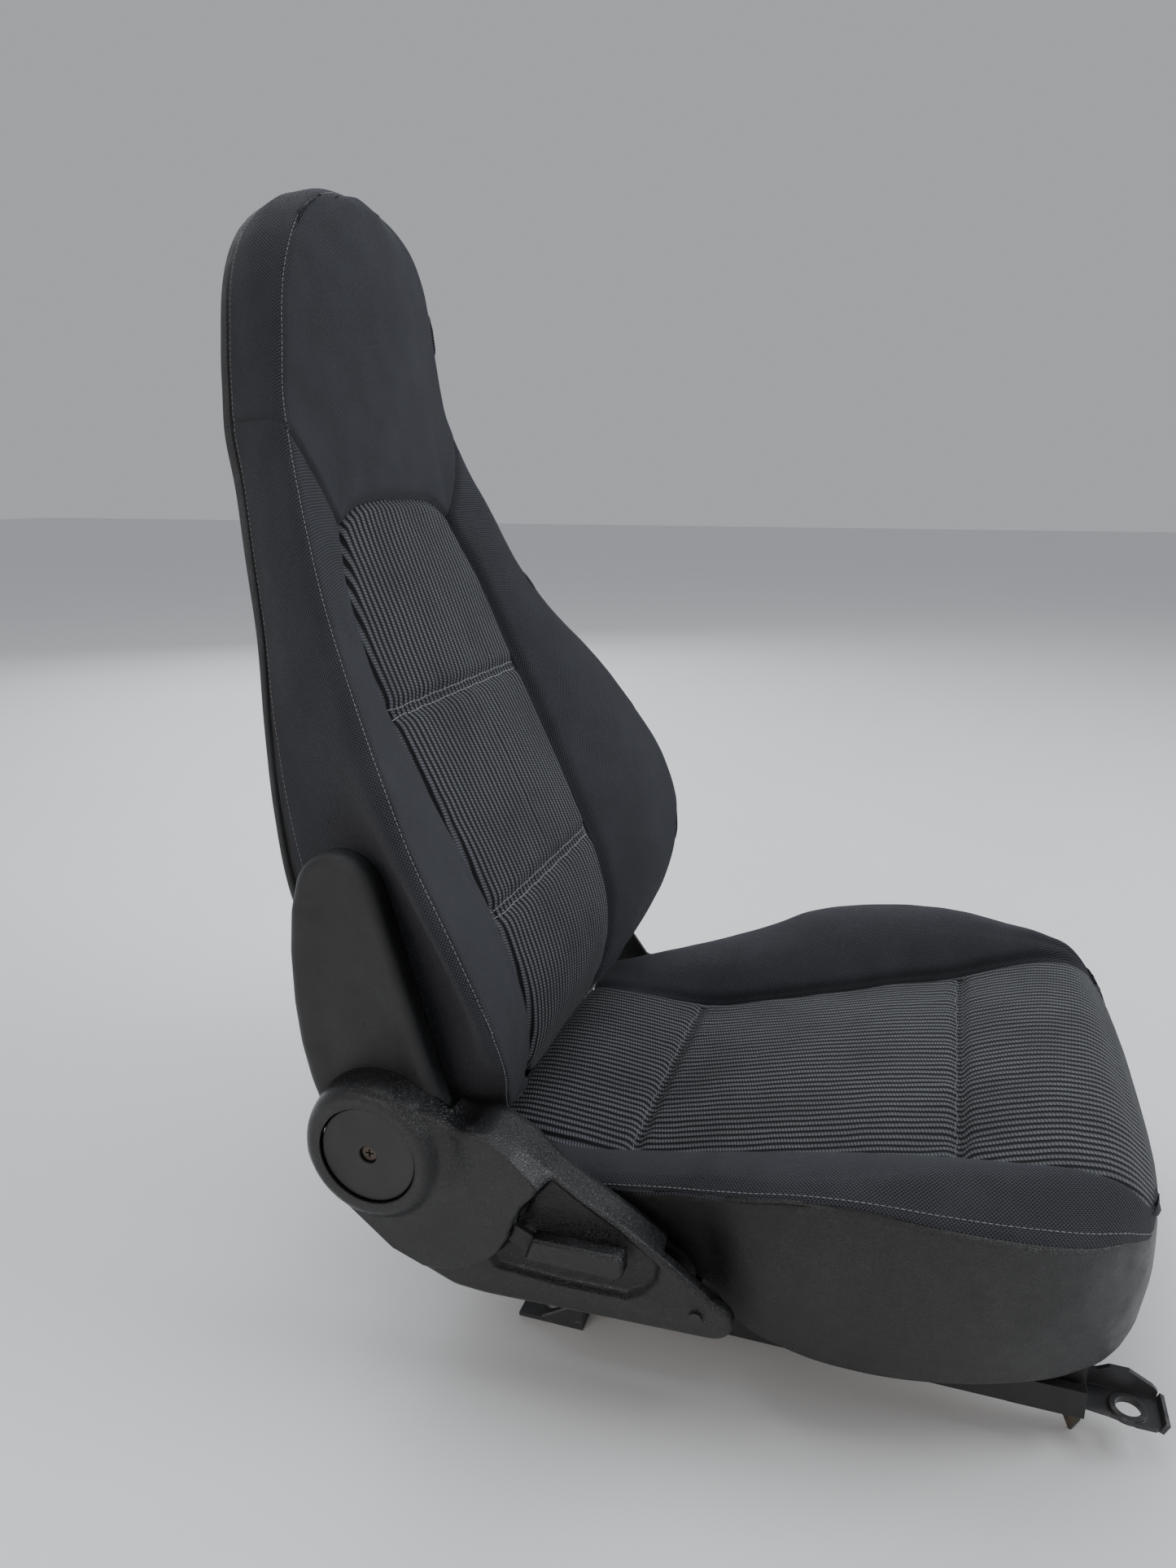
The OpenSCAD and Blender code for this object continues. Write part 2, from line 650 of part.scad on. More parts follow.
module slide_bar_brackets() {
    color("#202022") for (s = [-1, 1]) difference() {
        side_slab(bar_half + 6, bar_half + 10, s) polygon([[bar_y - 12, 46], [bar_y + 12, 46], [bar_y + 16, pan_z],
            [bar_y - 3, pan_z], [bar_y - 16, pan_z + 1.4]]);
        cross_bar(bar_y, bar_z, 5.06, bar_half, bar_half + 20, s);
    }
}

// ---- backrest --------------------------------------------------------------

// Places children given as [x, -forward, up the back] from the pivot
module on_back() {
    translate([0, pivot_y, pivot_z]) rotate([-back_rake, 0, 0]) children();
}

// Rows from the bottom up: distance up the back, then half width and forward depth of the
// insert's edge, the bolster's ridge, the side's middle and the rear edge, then the rear depth,
// and the depth of the hollow behind the foam
back_rows = [
    [-58, 80, 10, 100, 18, 108, 2, 98, -12, -18, 1],
    [-44, 100, 24, 158, 38, 172, 12, 152, -20, -30, 2],
    [-20, 107, 43, 205, 66, 214, 26, 186, -24, -38, 30],
    [10, 112, 56, 233, 92, 228, 48, 200, -26, -43, 58],
    [55, 117, 64, 257, 111, 231, 72, 205, -28, -46, 64],
    [110, 120, 65, 265, 116, 233, 78, 206, -28, -48, 66],
    [175, 126, 63, 256, 109, 231, 68, 204, -27, -48, 66],
    [230, 129, 61, 239, 101, 217, 50, 190, -22, -44, 61],
    [290, 128, 60, 209, 88, 195, 36, 172, -12, -33, 53],
    [350, 118, 63, 184, 81, 173, 36, 153, 0, -17, 46],
    [408, 100, 68, 162, 82, 154, 42, 140, 11, -2, 38],
    [460, 88, 82, 143, 84, 138, 51, 127, 23, 12, 34],
    [500, 82, 96, 132, 91, 129, 60, 119, 32, 23, 34],
    [532, 78, 109, 126, 104, 124, 71, 113, 42, 31, 34],
    [566, 74, 122, 117, 118, 117, 85, 104, 54, 41, 33],
    [600, 64, 132, 99, 128, 103, 95, 93, 63, 53, 28],
    [626, 44, 138, 66, 136, 84, 98, 77, 64, 61, 4],
    [643, 16, 140, 24, 139, 60, 102, 54, 72, 70, 2],
    [651, 8, 128, 14, 126, 38, 103, 32, 81, 80, 1]
];

// Half outline of one row, from the centre front to the centre rear
function back_half(r) = [
    [0, r[2] + 3], [r[1] * 0.6, r[2] + 2.5], [r[1], r[2]],
    [r[1] + (r[3] - r[1]) * 0.5, r[2] + (r[4] - r[2]) * 0.55],
    [r[3], r[4]], [r[3] * 0.99 + 2, r[4] - (r[4] - r[6]) * 0.3], [r[5], r[6]], [r[7], r[8]],
    [r[7] * 0.6, r[9] + 1], [0, r[9]]];

function back_ring(r, inset) =
    [for (p = drawn_in(smooth_ring(both_sides(back_half(r)), 2), inset)) [p[0], -p[1], r[0]]];

// The foam's ring: the skin drawn in, with a hollow in its rear for the frame and springs
function foam_ring(r) =
    let (skin = back_ring(r, skin_t + 2.5), n = len(skin), edge = skin[15], side = edge[0] - 9)
    let (rear = -edge[1] - 1, deep = r[9] + skin_t + r[10])
    concat([for (i = [0:15]) skin[i]],
        [[side, -rear, r[0]], [side - 3, -deep, r[0]], [0, -deep - 1, r[0]],
        [3 - side, -deep, r[0]], [-side, -rear, r[0]]],
        [for (i = [n - 15:n - 1]) skin[i]]);

// Part of the backrest's skin, from point a to point b of each ring
module back_skin(a, b) {
    loft([for (row = back_rows)
        shell_section(back_ring(row, 0), back_ring(row, skin_t), a, b)]);
}

back_seam = 14;

module backrest_foam() {
    color("#b8a878") on_back() loft([for (row = back_rows) foam_ring(row)]);
}

module backrest_cover() {
    color("#25262b") on_back() back_skin(-back_seam, back_seam);
}

module back_shell() {
    color("#1a1a1c") on_back() back_skin(back_seam, 36 - back_seam);
}

tube_r = 10;
function frame_side(s) = [
    [s * 172, 18, 4], [s * 176, 18, 120], [s * 166, 17, 210], [s * 128, -6, 340],
    [s * 97, -29.5, 450], [s * 83, -49.5, 520], [s * 58, -72, 588]];

module backrest_frame() {
    right = frame_side(-1);
    left = frame_side(1);
    color("#3a3a3c") on_back() {
        bent_bar(concat(right, [for (i = [len(left) - 1:-1:0]) left[i]]), tube_r);
        bar([-176, 18, 60], [176, 18, 60], 8);
    }
}

module back_springs() {
    color("#8a8a86") on_back() for (v = [110, 155, 200, 245, 290]) {
        half = v < 200 ? 165 : 165 - (v - 200) * 0.3;
        for (s = [-1, 1]) bar([0, 4, v - 14], [s * half, 4, v], 2);
    }
}

arm_top = [pivot_y + 27, pivot_z + 160];
tooth_root_r = 40;

// One tooth every 6 degrees round the arm's lower edge
function sector_teeth() = [for (a = [192:6:300], k = [0:3])
    let (r = k == 0 || k == 3 ? tooth_root_r : tooth_r, t = a + [-2.2, -1, 1, 2.2][k])
    [pivot_y + r * cos(t), pivot_z + r * sin(t)]];

function arm_outline(toothed) = concat(
    toothed ? sector_teeth() : arc(pivot_y, pivot_z, 33, 168, 305, 14),
    arc(pivot_y, pivot_z, 33, 308, 378, 8),
    arc(arm_top[0], arm_top[1], 19, -8, 174, 12));

module upper_arm(side) {
    color("#242426") difference() {
        side_slab(arm_in, arm_out, side) polygon(arm_outline(side < 0));
        cross_bar(pivot_y, pivot_z, hinge_r + 0.03, arm_in - 2, arm_out + 2, side);
        for (z = arm_bolt_zs) cross_bar(arm_bolt_y(z), z, 4.1, arm_in - 2, arm_out + 2, side);
    }
}

arm_bolt_zs = [pivot_z + 70, pivot_z + 150];
function arm_bolt_y(z) = pivot_y + (z - pivot_z) * 0.17 + 14;

module arm_bolts() {
    color("#8c8a80") for (s = [-1, 1], z = arm_bolt_zs) {
        cross_bar(arm_bolt_y(z), z, 4, 200, arm_out + 0.2, s);
        cross_bar(arm_bolt_y(z), z, 7, arm_out + 0.1, arm_out + 4.5, s);
    }
}

function arm_cover_outline() = concat(
    arc(pivot_y, pivot_z, 50, 160, 372, 22),
    [[152, 205], [158, 232], [161, 262], [161, 300], [158, 330]],
    arc(123, 341, 31, 8, 168, 16));

module arm_cover() {
    color("#151516") difference() {
        union() {
            side_slab(arm_out + 3, arm_cover_x - 5) polygon(arm_cover_outline());
            side_slab(arm_cover_x - 5, arm_cover_x) offset(delta = -2.5) polygon(arm_cover_outline());
        }
        side_slab(arm_out + 2, arm_cover_x - 4) offset(delta = -5) polygon(arm_cover_outline());
        cross_bar(pivot_y, pivot_z, 12, arm_out + 2, arm_cover_x + 1);
    }
}

// ---- which node to draw ----------------------------------------------------

lower_rail(-1);  // lower_rail_right
lower_rail(1);  // lower_rail_left
front_foot(-1);  // front_foot_right
front_foot(1);  // front_foot_left
rear_foot(-1);  // rear_foot_right
rear_foot(1);  // rear_foot_left
locating_pins();
foot_rivets();
upper_rail(-1);  // upper_rail_right
upper_rail(1);  // upper_rail_left
rail_rollers();
roller_cages();
side_plate(-1);  // side_plate_right
side_plate(1);  // side_plate_left
rear_cross_tube();
cushion_pan();
pan_risers();
rail_bolts();
hinge_pin_right();
hinge_pin_left();
cushion_foam();
cushion_cover();
cushion_skirt();
recliner_cover();
pivot_cap();
pivot_cap_screw();
cover_screws();
inner_hinge_cover();
return_spring();
lever_pin();
pawl_pin();
recliner_lever();
lever_handle();
recliner_pawl();
slide_bar();
latch_plates();
slide_bar_brackets();
backrest_frame();
back_springs();
upper_arm(-1);  // upper_arm_right
upper_arm(1);  // upper_arm_left
arm_bolts();
backrest_foam();
backrest_cover();
back_shell();
arm_cover();
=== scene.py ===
"""Reclining high-back car seat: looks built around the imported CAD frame.

Lengths are in mm until a mesh is made. A soft form has rows, up the back or along the cushion,
and c counts round half of its outline, from the middle in front (0) to the middle behind.
"""
import math

import bpy
import numpy as np
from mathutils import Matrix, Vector, noise
from mathutils.bvhtree import BVHTree


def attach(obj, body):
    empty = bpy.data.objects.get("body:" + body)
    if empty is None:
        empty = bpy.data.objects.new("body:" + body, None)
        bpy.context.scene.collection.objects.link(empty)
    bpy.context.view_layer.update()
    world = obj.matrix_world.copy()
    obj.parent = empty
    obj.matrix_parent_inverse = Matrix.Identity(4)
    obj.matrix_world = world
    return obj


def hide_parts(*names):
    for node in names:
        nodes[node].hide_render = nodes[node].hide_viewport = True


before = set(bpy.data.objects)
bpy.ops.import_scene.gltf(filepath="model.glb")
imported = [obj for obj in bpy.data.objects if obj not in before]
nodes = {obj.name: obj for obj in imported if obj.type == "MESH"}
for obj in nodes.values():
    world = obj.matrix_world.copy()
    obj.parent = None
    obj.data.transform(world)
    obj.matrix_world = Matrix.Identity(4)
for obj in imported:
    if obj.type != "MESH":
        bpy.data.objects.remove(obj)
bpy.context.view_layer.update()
scene = bpy.context.scene

MM = 0.001
TAU = 2 * math.pi
EPS, TINY = 1e-6, 1e-9
PIVOT_Y, PIVOT_Z, RAKE = 95.0, 172.0, math.radians(24)

# ---------------- camera, floor, light

IMAGE_W, IMAGE_H = 1445, 1927
FOCAL_PX, SENSOR = 1336.0, 36.0
CAM_PLACE = (-0.8374, -0.2398, 0.6052)
CAM_AZ, CAM_EL = math.radians(-71.95), math.radians(15.64)

cam_data = bpy.data.cameras.new("camera")
cam_data.sensor_fit = "AUTO"
cam_data.sensor_width = SENSOR
cam_data.lens = SENSOR * FOCAL_PX / max(IMAGE_W, IMAGE_H)
cam_data.clip_start = 0.01
camera = bpy.data.objects.new("camera", cam_data)
scene.collection.objects.link(camera)
camera.location = CAM_PLACE
camera.rotation_euler = (math.pi / 2 - CAM_EL, 0.0, CAM_AZ)
scene.camera = camera


def area_light(name, place, size, watts, tint):
    data = bpy.data.lights.new(name, "AREA")
    data.shape = "RECTANGLE"
    data.size, data.size_y = size
    data.energy = watts
    data.color = tint
    obj = bpy.data.objects.new(name, data)
    scene.collection.objects.link(obj)
    obj.location = place
    obj.rotation_euler = (AIM - Vector(place)).to_track_quat("-Z", "Y").to_euler()


AIM = Vector((0, -0.05, 0.35))
area_light("key", (0.5, -2.7, 1.9), (1.7, 1.7), 62, (0.95, 0.98, 1.0))
area_light("fill", (-2.6, 0.5, 1.3), (2.0, 1.6), 24, (1.0, 0.9, 0.8))
area_light("top", (0.5, 0.4, 2.8), (2.2, 2.2), 44, (0.93, 0.97, 1.0))
area_light("back", (2.4, 1.6, 1.6), (1.8, 1.6), 34, (0.9, 0.95, 1.0))

world = bpy.data.worlds.new("studio")
scene.world = world
world.use_nodes = True
sky = world.node_tree.nodes["Background"].inputs
sky["Color"].default_value = (0.82, 0.85, 0.9, 1)
sky["Strength"].default_value = 0.5

# ---------------- small node helper


def shade(color, factor):
    return tuple(factor * c for c in color)


class Mat:
    """A material and short ways to add nodes to it."""

    def __init__(self, name, color, roughness, metallic=0.0, sheen=0.0, gleam=0.5):
        self.mat = bpy.data.materials.new(name)
        self.mat.use_nodes = True
        self.tree = self.mat.node_tree
        self.bsdf = self.tree.nodes["Principled BSDF"]
        inputs = self.bsdf.inputs
        inputs["Base Color"].default_value = (*color, 1)
        inputs["Roughness"].default_value = roughness
        inputs["Metallic"].default_value = metallic
        inputs["Specular IOR Level"].default_value = gleam
        if sheen:
            inputs["Sheen Weight"].default_value = sheen
            inputs["Sheen Roughness"].default_value = 0.4
        self.mat.diffuse_color = (*color, 1)

    def node(self, kind, **values):
        n = self.tree.nodes.new(kind)
        for key, value in values.items():
            setattr(n, key, value)
        return n

    def link(self, a, b):
        self.tree.links.new(a, b)

    def put(self, socket, value):
        if isinstance(value, (int, float)):
            socket.default_value = value
        elif isinstance(value, tuple):
            socket.default_value = (*value, 1)
        else:
            self.link(value, socket)

    def math(self, op, *values):
        n = self.node("ShaderNodeMath", operation=op)
        for socket, value in zip(n.inputs, values):
            self.put(socket, value)
        return n.outputs[0]

    def madd(self, a, factor, b):
        return self.math("MULTIPLY_ADD", a, factor, b)

    def wave(self, op, x, period):
        """SINE or COSINE of x, once round in each period."""
        return self.math(op, self.math("MULTIPLY", x, TAU / period))

    def half(self, wave):
        """A wave from -1 to 1 brought to 0 to 1."""
        return self.madd(wave, 0.5, 0.5)

    def uv(self):
        n = self.node("ShaderNodeUVMap", uv_map="UVMap")
        s = self.node("ShaderNodeSeparateXYZ")
        self.link(n.outputs[0], s.inputs[0])
        return s.outputs[0], s.outputs[1]

    def coords(self):
        return self.node("ShaderNodeTexCoord").outputs["Object"]

    def noise(self, scale, detail, roughness=0.55, stretch=None):
        n = self.node("ShaderNodeTexNoise")
        n.inputs["Scale"].default_value = scale
        n.inputs["Detail"].default_value = detail
        n.inputs["Roughness"].default_value = roughness
        vector = self.coords()
        if stretch:
            m = self.node("ShaderNodeMapping")
            m.inputs["Scale"].default_value = stretch
            self.link(vector, m.inputs[0])
            vector = m.outputs[0]
        self.link(vector, n.inputs["Vector"])
        return n.outputs["Fac"]

    def voronoi(self, scale, feature="F1"):
        n = self.node("ShaderNodeTexVoronoi", feature=feature)
        n.inputs["Scale"].default_value = scale
        self.link(self.coords(), n.inputs["Vector"])
        return n.outputs["Distance"]

    def span(self, value, low, high, to_low=0.0, to_high=1.0, smooth=False):
        n = self.node("ShaderNodeMapRange", clamp=True)
        n.interpolation_type = "SMOOTHSTEP" if smooth else "LINEAR"
        for socket, v in zip(n.inputs, (value, low, high, to_low, to_high)):
            self.put(socket, v)
        return n.outputs[0]

    def mix(self, factor, a, b):
        n = self.node("ShaderNodeMix", data_type="RGBA")
        self.put(n.inputs[0], factor)
        self.put(n.inputs[6], a)
        self.put(n.inputs[7], b)
        return n.outputs[2]

    def color(self, socket):
        self.link(socket, self.bsdf.inputs["Base Color"])

    def roughness(self, socket):
        self.link(socket, self.bsdf.inputs["Roughness"])

    def bump(self, height, distance, strength, bevel=None):
        """Relief; with a bevel, sharp edges also catch light as if rounded to that radius."""
        n = self.node("ShaderNodeBump")
        n.inputs["Strength"].default_value = strength
        n.inputs["Distance"].default_value = distance
        self.link(height, n.inputs["Height"])
        if bevel:
            soft = self.node("ShaderNodeBevel")
            soft.inputs["Radius"].default_value = bevel
            self.link(soft.outputs[0], n.inputs["Normal"])
        self.link(n.outputs[0], self.bsdf.inputs["Normal"])


# ---------------- materials


def waffle_cloth(name, dark, light, pitch=0.0025):
    """Fine basket-woven seat cloth."""
    m = Mat(name, light, 0.9, sheen=0.05, gleam=0.2)
    u, v = m.uv()
    over = m.half(m.math("MULTIPLY", m.wave("SINE", u, pitch), m.wave("SINE", v, pitch)))
    fine = m.madd(m.wave("SINE", u, pitch / 2), 0.18, over)
    lumps = m.noise(28, 4)
    thread = m.noise(900, 2)
    height = m.madd(thread, 0.35, fine)
    tone = m.span(height, 0.15, 1.2, smooth=True)
    base = m.mix(tone, dark, light)
    m.color(m.mix(m.span(lumps, 0.35, 0.75, 0.0, 0.12), base, shade(light, 1.5)))
    m.roughness(m.span(thread, 0.2, 0.8, 0.8, 0.95))
    m.bump(height, 0.0006, 0.9)
    return m.mat


def ribbed_cloth(name, dark, light, pitch=0.0066, bead=0.0024):
    """Cloth with rows of light beads between dark grooves."""
    m = Mat(name, light, 0.85, sheen=0.05, gleam=0.25)
    u, v = m.uv()
    wander = m.math("MULTIPLY", m.math("SUBTRACT", m.noise(45, 2), 0.5), 0.0016)
    u = m.math("ADD", u, wander)
    band = m.span(m.half(m.wave("COSINE", u, pitch)), 0.12, 0.62, smooth=True)
    split = m.half(m.wave("COSINE", u, pitch / 2))
    slant = m.madd(u, 0.75 * TAU / pitch, m.math("MULTIPLY", v, TAU / bead))
    beads = m.half(m.math("SINE", slant))
    thread = m.noise(1100, 2)
    height = m.math("MULTIPLY", band, m.madd(beads, 0.55, 0.45))
    tone = m.math("MULTIPLY", height, m.madd(split, 0.25, 0.75))
    tone = m.math("MULTIPLY", tone, m.span(thread, 0.3, 0.7, 0.65, 1.1))
    base = m.mix(m.span(tone, 0.12, 0.9), dark, light)
    m.color(m.mix(m.span(m.noise(16, 4), 0.42, 0.75, 0.0, 0.3), base, dark))
    m.bump(m.madd(thread, 0.15, height), 0.0009, 0.8)
    return m.mat


def vinyl(name, color, gloss):
    """Soft grained vinyl with fine creases."""
    m = Mat(name, color, gloss)
    pores = m.span(m.voronoi(900, "DISTANCE_TO_EDGE"), 0.0, 0.25, smooth=True)
    creases = m.noise(140, 5, stretch=(1, 0.35, 1))
    cloud = m.span(m.noise(11, 4), 0.35, 0.7)
    m.color(m.mix(cloud, shade(color, 0.75), shade(color, 1.35)))
    m.roughness(m.span(m.noise(60, 4), 0.3, 0.7, gloss - 0.07, gloss + 0.12))
    m.bump(m.madd(creases, 1.6, pores), 0.00035, 0.7)
    return m.mat


def grained_plastic(name, color, gloss, grain, depth):
    """Moulded plastic with a leather grain and a little dust."""
    m = Mat(name, color, gloss)
    cells = m.span(m.voronoi(grain, "DISTANCE_TO_EDGE"), 0.02, 0.3, smooth=True)
    pebble = m.madd(m.noise(grain * 0.6, 3), 0.7, cells)
    dust = m.span(m.noise(24, 6, 0.65), 0.5, 0.82, 0.0, 0.35)
    m.color(m.mix(dust, color, tuple(min(1.0, 2.6 * c + 0.008) for c in color)))
    m.roughness(m.span(m.noise(38, 5), 0.3, 0.75, gloss - 0.06, gloss + 0.16))
    m.bump(pebble, depth, 0.6)
    return m.mat


def painted_steel(name, color, gloss=0.4, wear=0.62, rust=0.0):
    """Thin dark paint over sheet steel, scuffed and dusty."""
    m = Mat(name, color, gloss, 0.35)
    scuff = m.span(m.noise(55, 8, 0.7, stretch=(1, 0.3, 1)), wear, wear + 0.12)
    base = m.mix(scuff, color, (0.16, 0.155, 0.15))
    grime = m.span(m.noise(18, 5, 0.6), 0.52, 0.75, 0.0, 0.6)
    base = m.mix(grime, base, (0.055, 0.047, 0.038))
    if rust:
        spots = m.span(m.noise(70, 8, 0.75), 1.0 - rust, 1.06 - rust)
        base = m.mix(spots, base, (0.17, 0.062, 0.022))
    m.color(base)
    m.roughness(m.span(m.noise(90, 5), 0.3, 0.75, gloss - 0.1, gloss + 0.25))
    height = m.madd(scuff, -0.4, m.noise(420, 3))
    m.bump(height, 0.00012, 0.6, bevel=0.0008)
    return m.mat


def bare_steel(name, color, gloss, rust):
    """Unpainted steel with a bloom of rust."""
    m = Mat(name, color, gloss, 0.9)
    spots = m.span(m.noise(60, 8, 0.7), 0.95 - rust, 1.1 - rust)
    m.color(m.mix(spots, color, (0.13, 0.075, 0.04)))
    m.roughness(m.span(m.noise(120, 4), 0.3, 0.7, gloss - 0.08, gloss + 0.2))
    m.bump(m.noise(500, 3), 0.00008, 0.5, bevel=0.0005)
    return m.mat


def thread_mat(name, color):
    """Spun sewing thread."""
    m = Mat(name, color, 0.7, sheen=0.2)
    m.color(m.mix(m.span(m.noise(300, 3), 0.3, 0.7), shade(color, 0.6), color))
    m.bump(m.noise(2500, 2), 0.0001, 0.5)
    return m.mat


def foam_mat(name, color):
    """Open-cell foam."""
    m = Mat(name, color, 0.95)
    m.color(m.mix(m.noise(60, 4), shade(color, 0.7), color))
    m.bump(m.voronoi(700), 0.0006, 0.8)
    return m.mat


CLOTH = waffle_cloth("seat_cloth", (0.0022, 0.0024, 0.0032), (0.052, 0.054, 0.065))
RIBS = ribbed_cloth("ribbed_cloth", (0.004, 0.0042, 0.0055), (0.135, 0.14, 0.152))
VINYL = vinyl("seat_vinyl", (0.0105, 0.0103, 0.0106), 0.4)
SHELL = vinyl("shell_vinyl", (0.032, 0.034, 0.037), 0.5)
TRIM = grained_plastic("grained_trim", (0.006, 0.006, 0.0066), 0.24, 900, 0.0003)
ARM_TRIM = grained_plastic("fine_trim", (0.0065, 0.0068, 0.0075), 0.4, 1500, 0.00018)
SMOOTH_TRIM = grained_plastic("smooth_trim", (0.011, 0.0105, 0.01), 0.4, 2600, 0.00006)
PAINT = painted_steel("black_paint", (0.02, 0.02, 0.021))
FOOT_PAINT = painted_steel("foot_paint", (0.045, 0.046, 0.05), 0.36, 0.58, 0.36)
STEEL = bare_steel("bare_steel", (0.34, 0.33, 0.31), 0.38, 0.3)
DARK_STEEL = bare_steel("oiled_steel", (0.1, 0.085, 0.07), 0.45, 0.42)
NYLON = grained_plastic("nylon", (0.5, 0.47, 0.4), 0.5, 1500, 0.00008)
FOAM = foam_mat("foam", (0.45, 0.38, 0.2))
THREAD = thread_mat("light_thread", (0.3, 0.305, 0.315))
DIM_THREAD = thread_mat("grey_thread", (0.17, 0.175, 0.185))

floor_mat = Mat("floor", (0.76, 0.765, 0.77), 0.55)
floor_mat.roughness(floor_mat.span(floor_mat.noise(3, 4), 0.3, 0.7, 0.48, 0.62))

FLOOR_HALF, FLOOR_DROP = 14.0, 0.0003
corners = [(FLOOR_HALF * i, FLOOR_HALF * j, 0) for i, j in ((-1, -1), (1, -1), (1, 1), (-1, 1))]
floor_mesh = bpy.data.meshes.new("floor")
floor_mesh.from_pydata(corners, [], [(0, 1, 2, 3)])
floor = bpy.data.objects.new("floor", floor_mesh)
floor.location.z = -FLOOR_DROP
scene.collection.objects.link(floor)
floor_mesh.materials.append(floor_mat.mat)

# ---------------- CAD nodes that stay

KEPT = {
    PAINT: ["upper_rail_right", "upper_rail_left", "side_plate_right", "side_plate_left",
            "rear_cross_tube", "cushion_pan", "pan_risers", "slide_bar", "slide_bar_brackets",
            "backrest_frame", "upper_arm_right", "upper_arm_left", "recliner_lever",
            "inner_hinge_cover", "lower_rail_right", "lower_rail_left"],
    FOOT_PAINT: ["front_foot_right", "front_foot_left", "rear_foot_right", "rear_foot_left"],
    STEEL: ["foot_rivets", "rail_rollers", "rail_bolts", "hinge_pin_right", "hinge_pin_left",
            "return_spring", "lever_pin", "pawl_pin", "recliner_pawl", "latch_plates",
            "back_springs", "arm_bolts"],
    DARK_STEEL: ["locating_pins", "pivot_cap_screw"],
    TRIM: ["lever_handle"],
    SMOOTH_TRIM: ["pivot_cap", "cover_screws"],
    NYLON: ["roller_cages"],
    FOAM: ["cushion_foam", "backrest_foam"],
}
for mat, names in KEPT.items():
    for name in names:
        slots = nodes[name].data.materials
        slots.clear()
        slots.append(mat)

VOXEL = 0.0008


def soften(name, rounds):
    """Rounds a moulded part's edges; its own mesh stays as it is under the modifiers."""
    remesh = nodes[name].modifiers.new("even", "REMESH")
    remesh.mode = "VOXEL"
    remesh.voxel_size = VOXEL
    remesh.use_smooth_shade = True
    smooth = nodes[name].modifiers.new("round", "SMOOTH")
    smooth.factor = 0.5
    smooth.iterations = rounds


soften("lever_handle", 7)
soften("pivot_cap", 3)

# ---------------- sewn surfaces


def spline(table, x):
    """Smooth curve through the table's rows, read at every x; a row starts with its own x."""
    table = np.array(sorted(table), float)
    xs, ys = table[:, 0], table[:, 1:]
    slope = np.gradient(ys, xs, axis=0)
    x = np.clip(x, xs[0], xs[-1])
    i = np.clip(np.searchsorted(xs, x, side="right") - 1, 0, len(xs) - 2)
    h = (xs[i + 1] - xs[i])[..., None]
    t = ((x - xs[i]) / (xs[i + 1] - xs[i]))[..., None]
    a, b, ma, mb = ys[i], ys[i + 1], slope[i] * h, slope[i + 1] * h
    return (a * (2 * t**3 - 3 * t**2 + 1) + ma * (t**3 - 2 * t**2 + t)
            + b * (-2 * t**3 + 3 * t**2) + mb * (t**3 - t**2))


def section(points, c, creases):
    """Point at c on a half outline, through points[..., k, 2], with corners at the creases."""
    count = points.shape[-2]
    out = np.zeros(c.shape + (2,))
    for i in range(count - 1):
        mask = (c >= i) & ((c < i + 1) if i < count - 2 else (c <= i + 1))
        if not mask.any():
            continue
        p = points[mask]
        b, d = p[:, i], p[:, i + 1]
        if i == 0:
            a = p[:, 1] * [-1, 1]
        elif i in creases:
            a = 2 * b - d
        else:
            a = p[:, i - 1]
        if i + 1 == count - 1:
            e = p[:, i] * [-1, 1]
        elif i + 1 in creases:
            e = 2 * d - b
        else:
            e = p[:, i + 2]
        t = (c[mask] - i)[:, None]
        out[mask] = 0.5 * (2 * b + (d - a) * t + (2 * a - 5 * b + 4 * d - e) * t**2
                           + (3 * b - a - 3 * d + e) * t**3)
    return out


def smoothstep(a, b, x):
    """0 at a, 1 at b, and smooth between them; a may be above b."""
    t = np.clip((np.asarray(x, float) - a) / (b - a), 0, 1)
    return t * t * (3 - 2 * t)


def ease(a, b, n, first=True, last=True):
    """n steps from a to b, closer together at the chosen ends; b itself is left out."""
    t = np.arange(n) / n
    if first and last:
        t = 0.55 * t + 0.45 * (0.5 - 0.5 * np.cos(math.pi * t))
    elif last:
        t = 0.5 * t + 0.5 * np.sin(math.pi * t / 2)
    else:
        t = 0.5 * t + 0.5 * (1 - np.cos(math.pi * t / 2))
    return list(a + (b - a) * t)


def near(a, b):
    return np.abs(a - b) < EPS


def finer(v):
    """The same values with a middle one put in between each two, along the first axis."""
    ext = np.concatenate([2 * v[:1] - v[1:2], v, 2 * v[-1:] - v[-2:-1]])
    mid = (9 * (ext[1:-2] + ext[2:-1]) - ext[:-3] - ext[3:]) / 16
    out = np.empty((2 * len(v) - 1,) + v.shape[1:])
    out[::2], out[1::2] = v, mid
    return out


def fine_params(v):
    """The same parameters with the middle of each step put in between."""
    out = np.empty(2 * len(v) - 1)
    out[::2], out[1::2] = v, (v[:-1] + v[1:]) / 2
    return out


def finer_ring(v):
    """As finer(), for a closed ring along the first axis."""
    mid = (9 * (v + np.roll(v, -1, 0)) - np.roll(v, 1, 0) - np.roll(v, -2, 0)) / 16
    out = np.empty((2 * len(v),) + v.shape[1:])
    out[::2], out[1::2] = v, mid
    return out


def grid_normals(p):
    """Outward normals of a ring-by-row grid of points, p[ring, row, 3]."""
    around = np.roll(p, -1, 0) - np.roll(p, 1, 0)
    along = np.gradient(p, axis=1)
    n = np.cross(along, around)
    return n / np.maximum(np.linalg.norm(n, axis=2, keepdims=True), TINY)


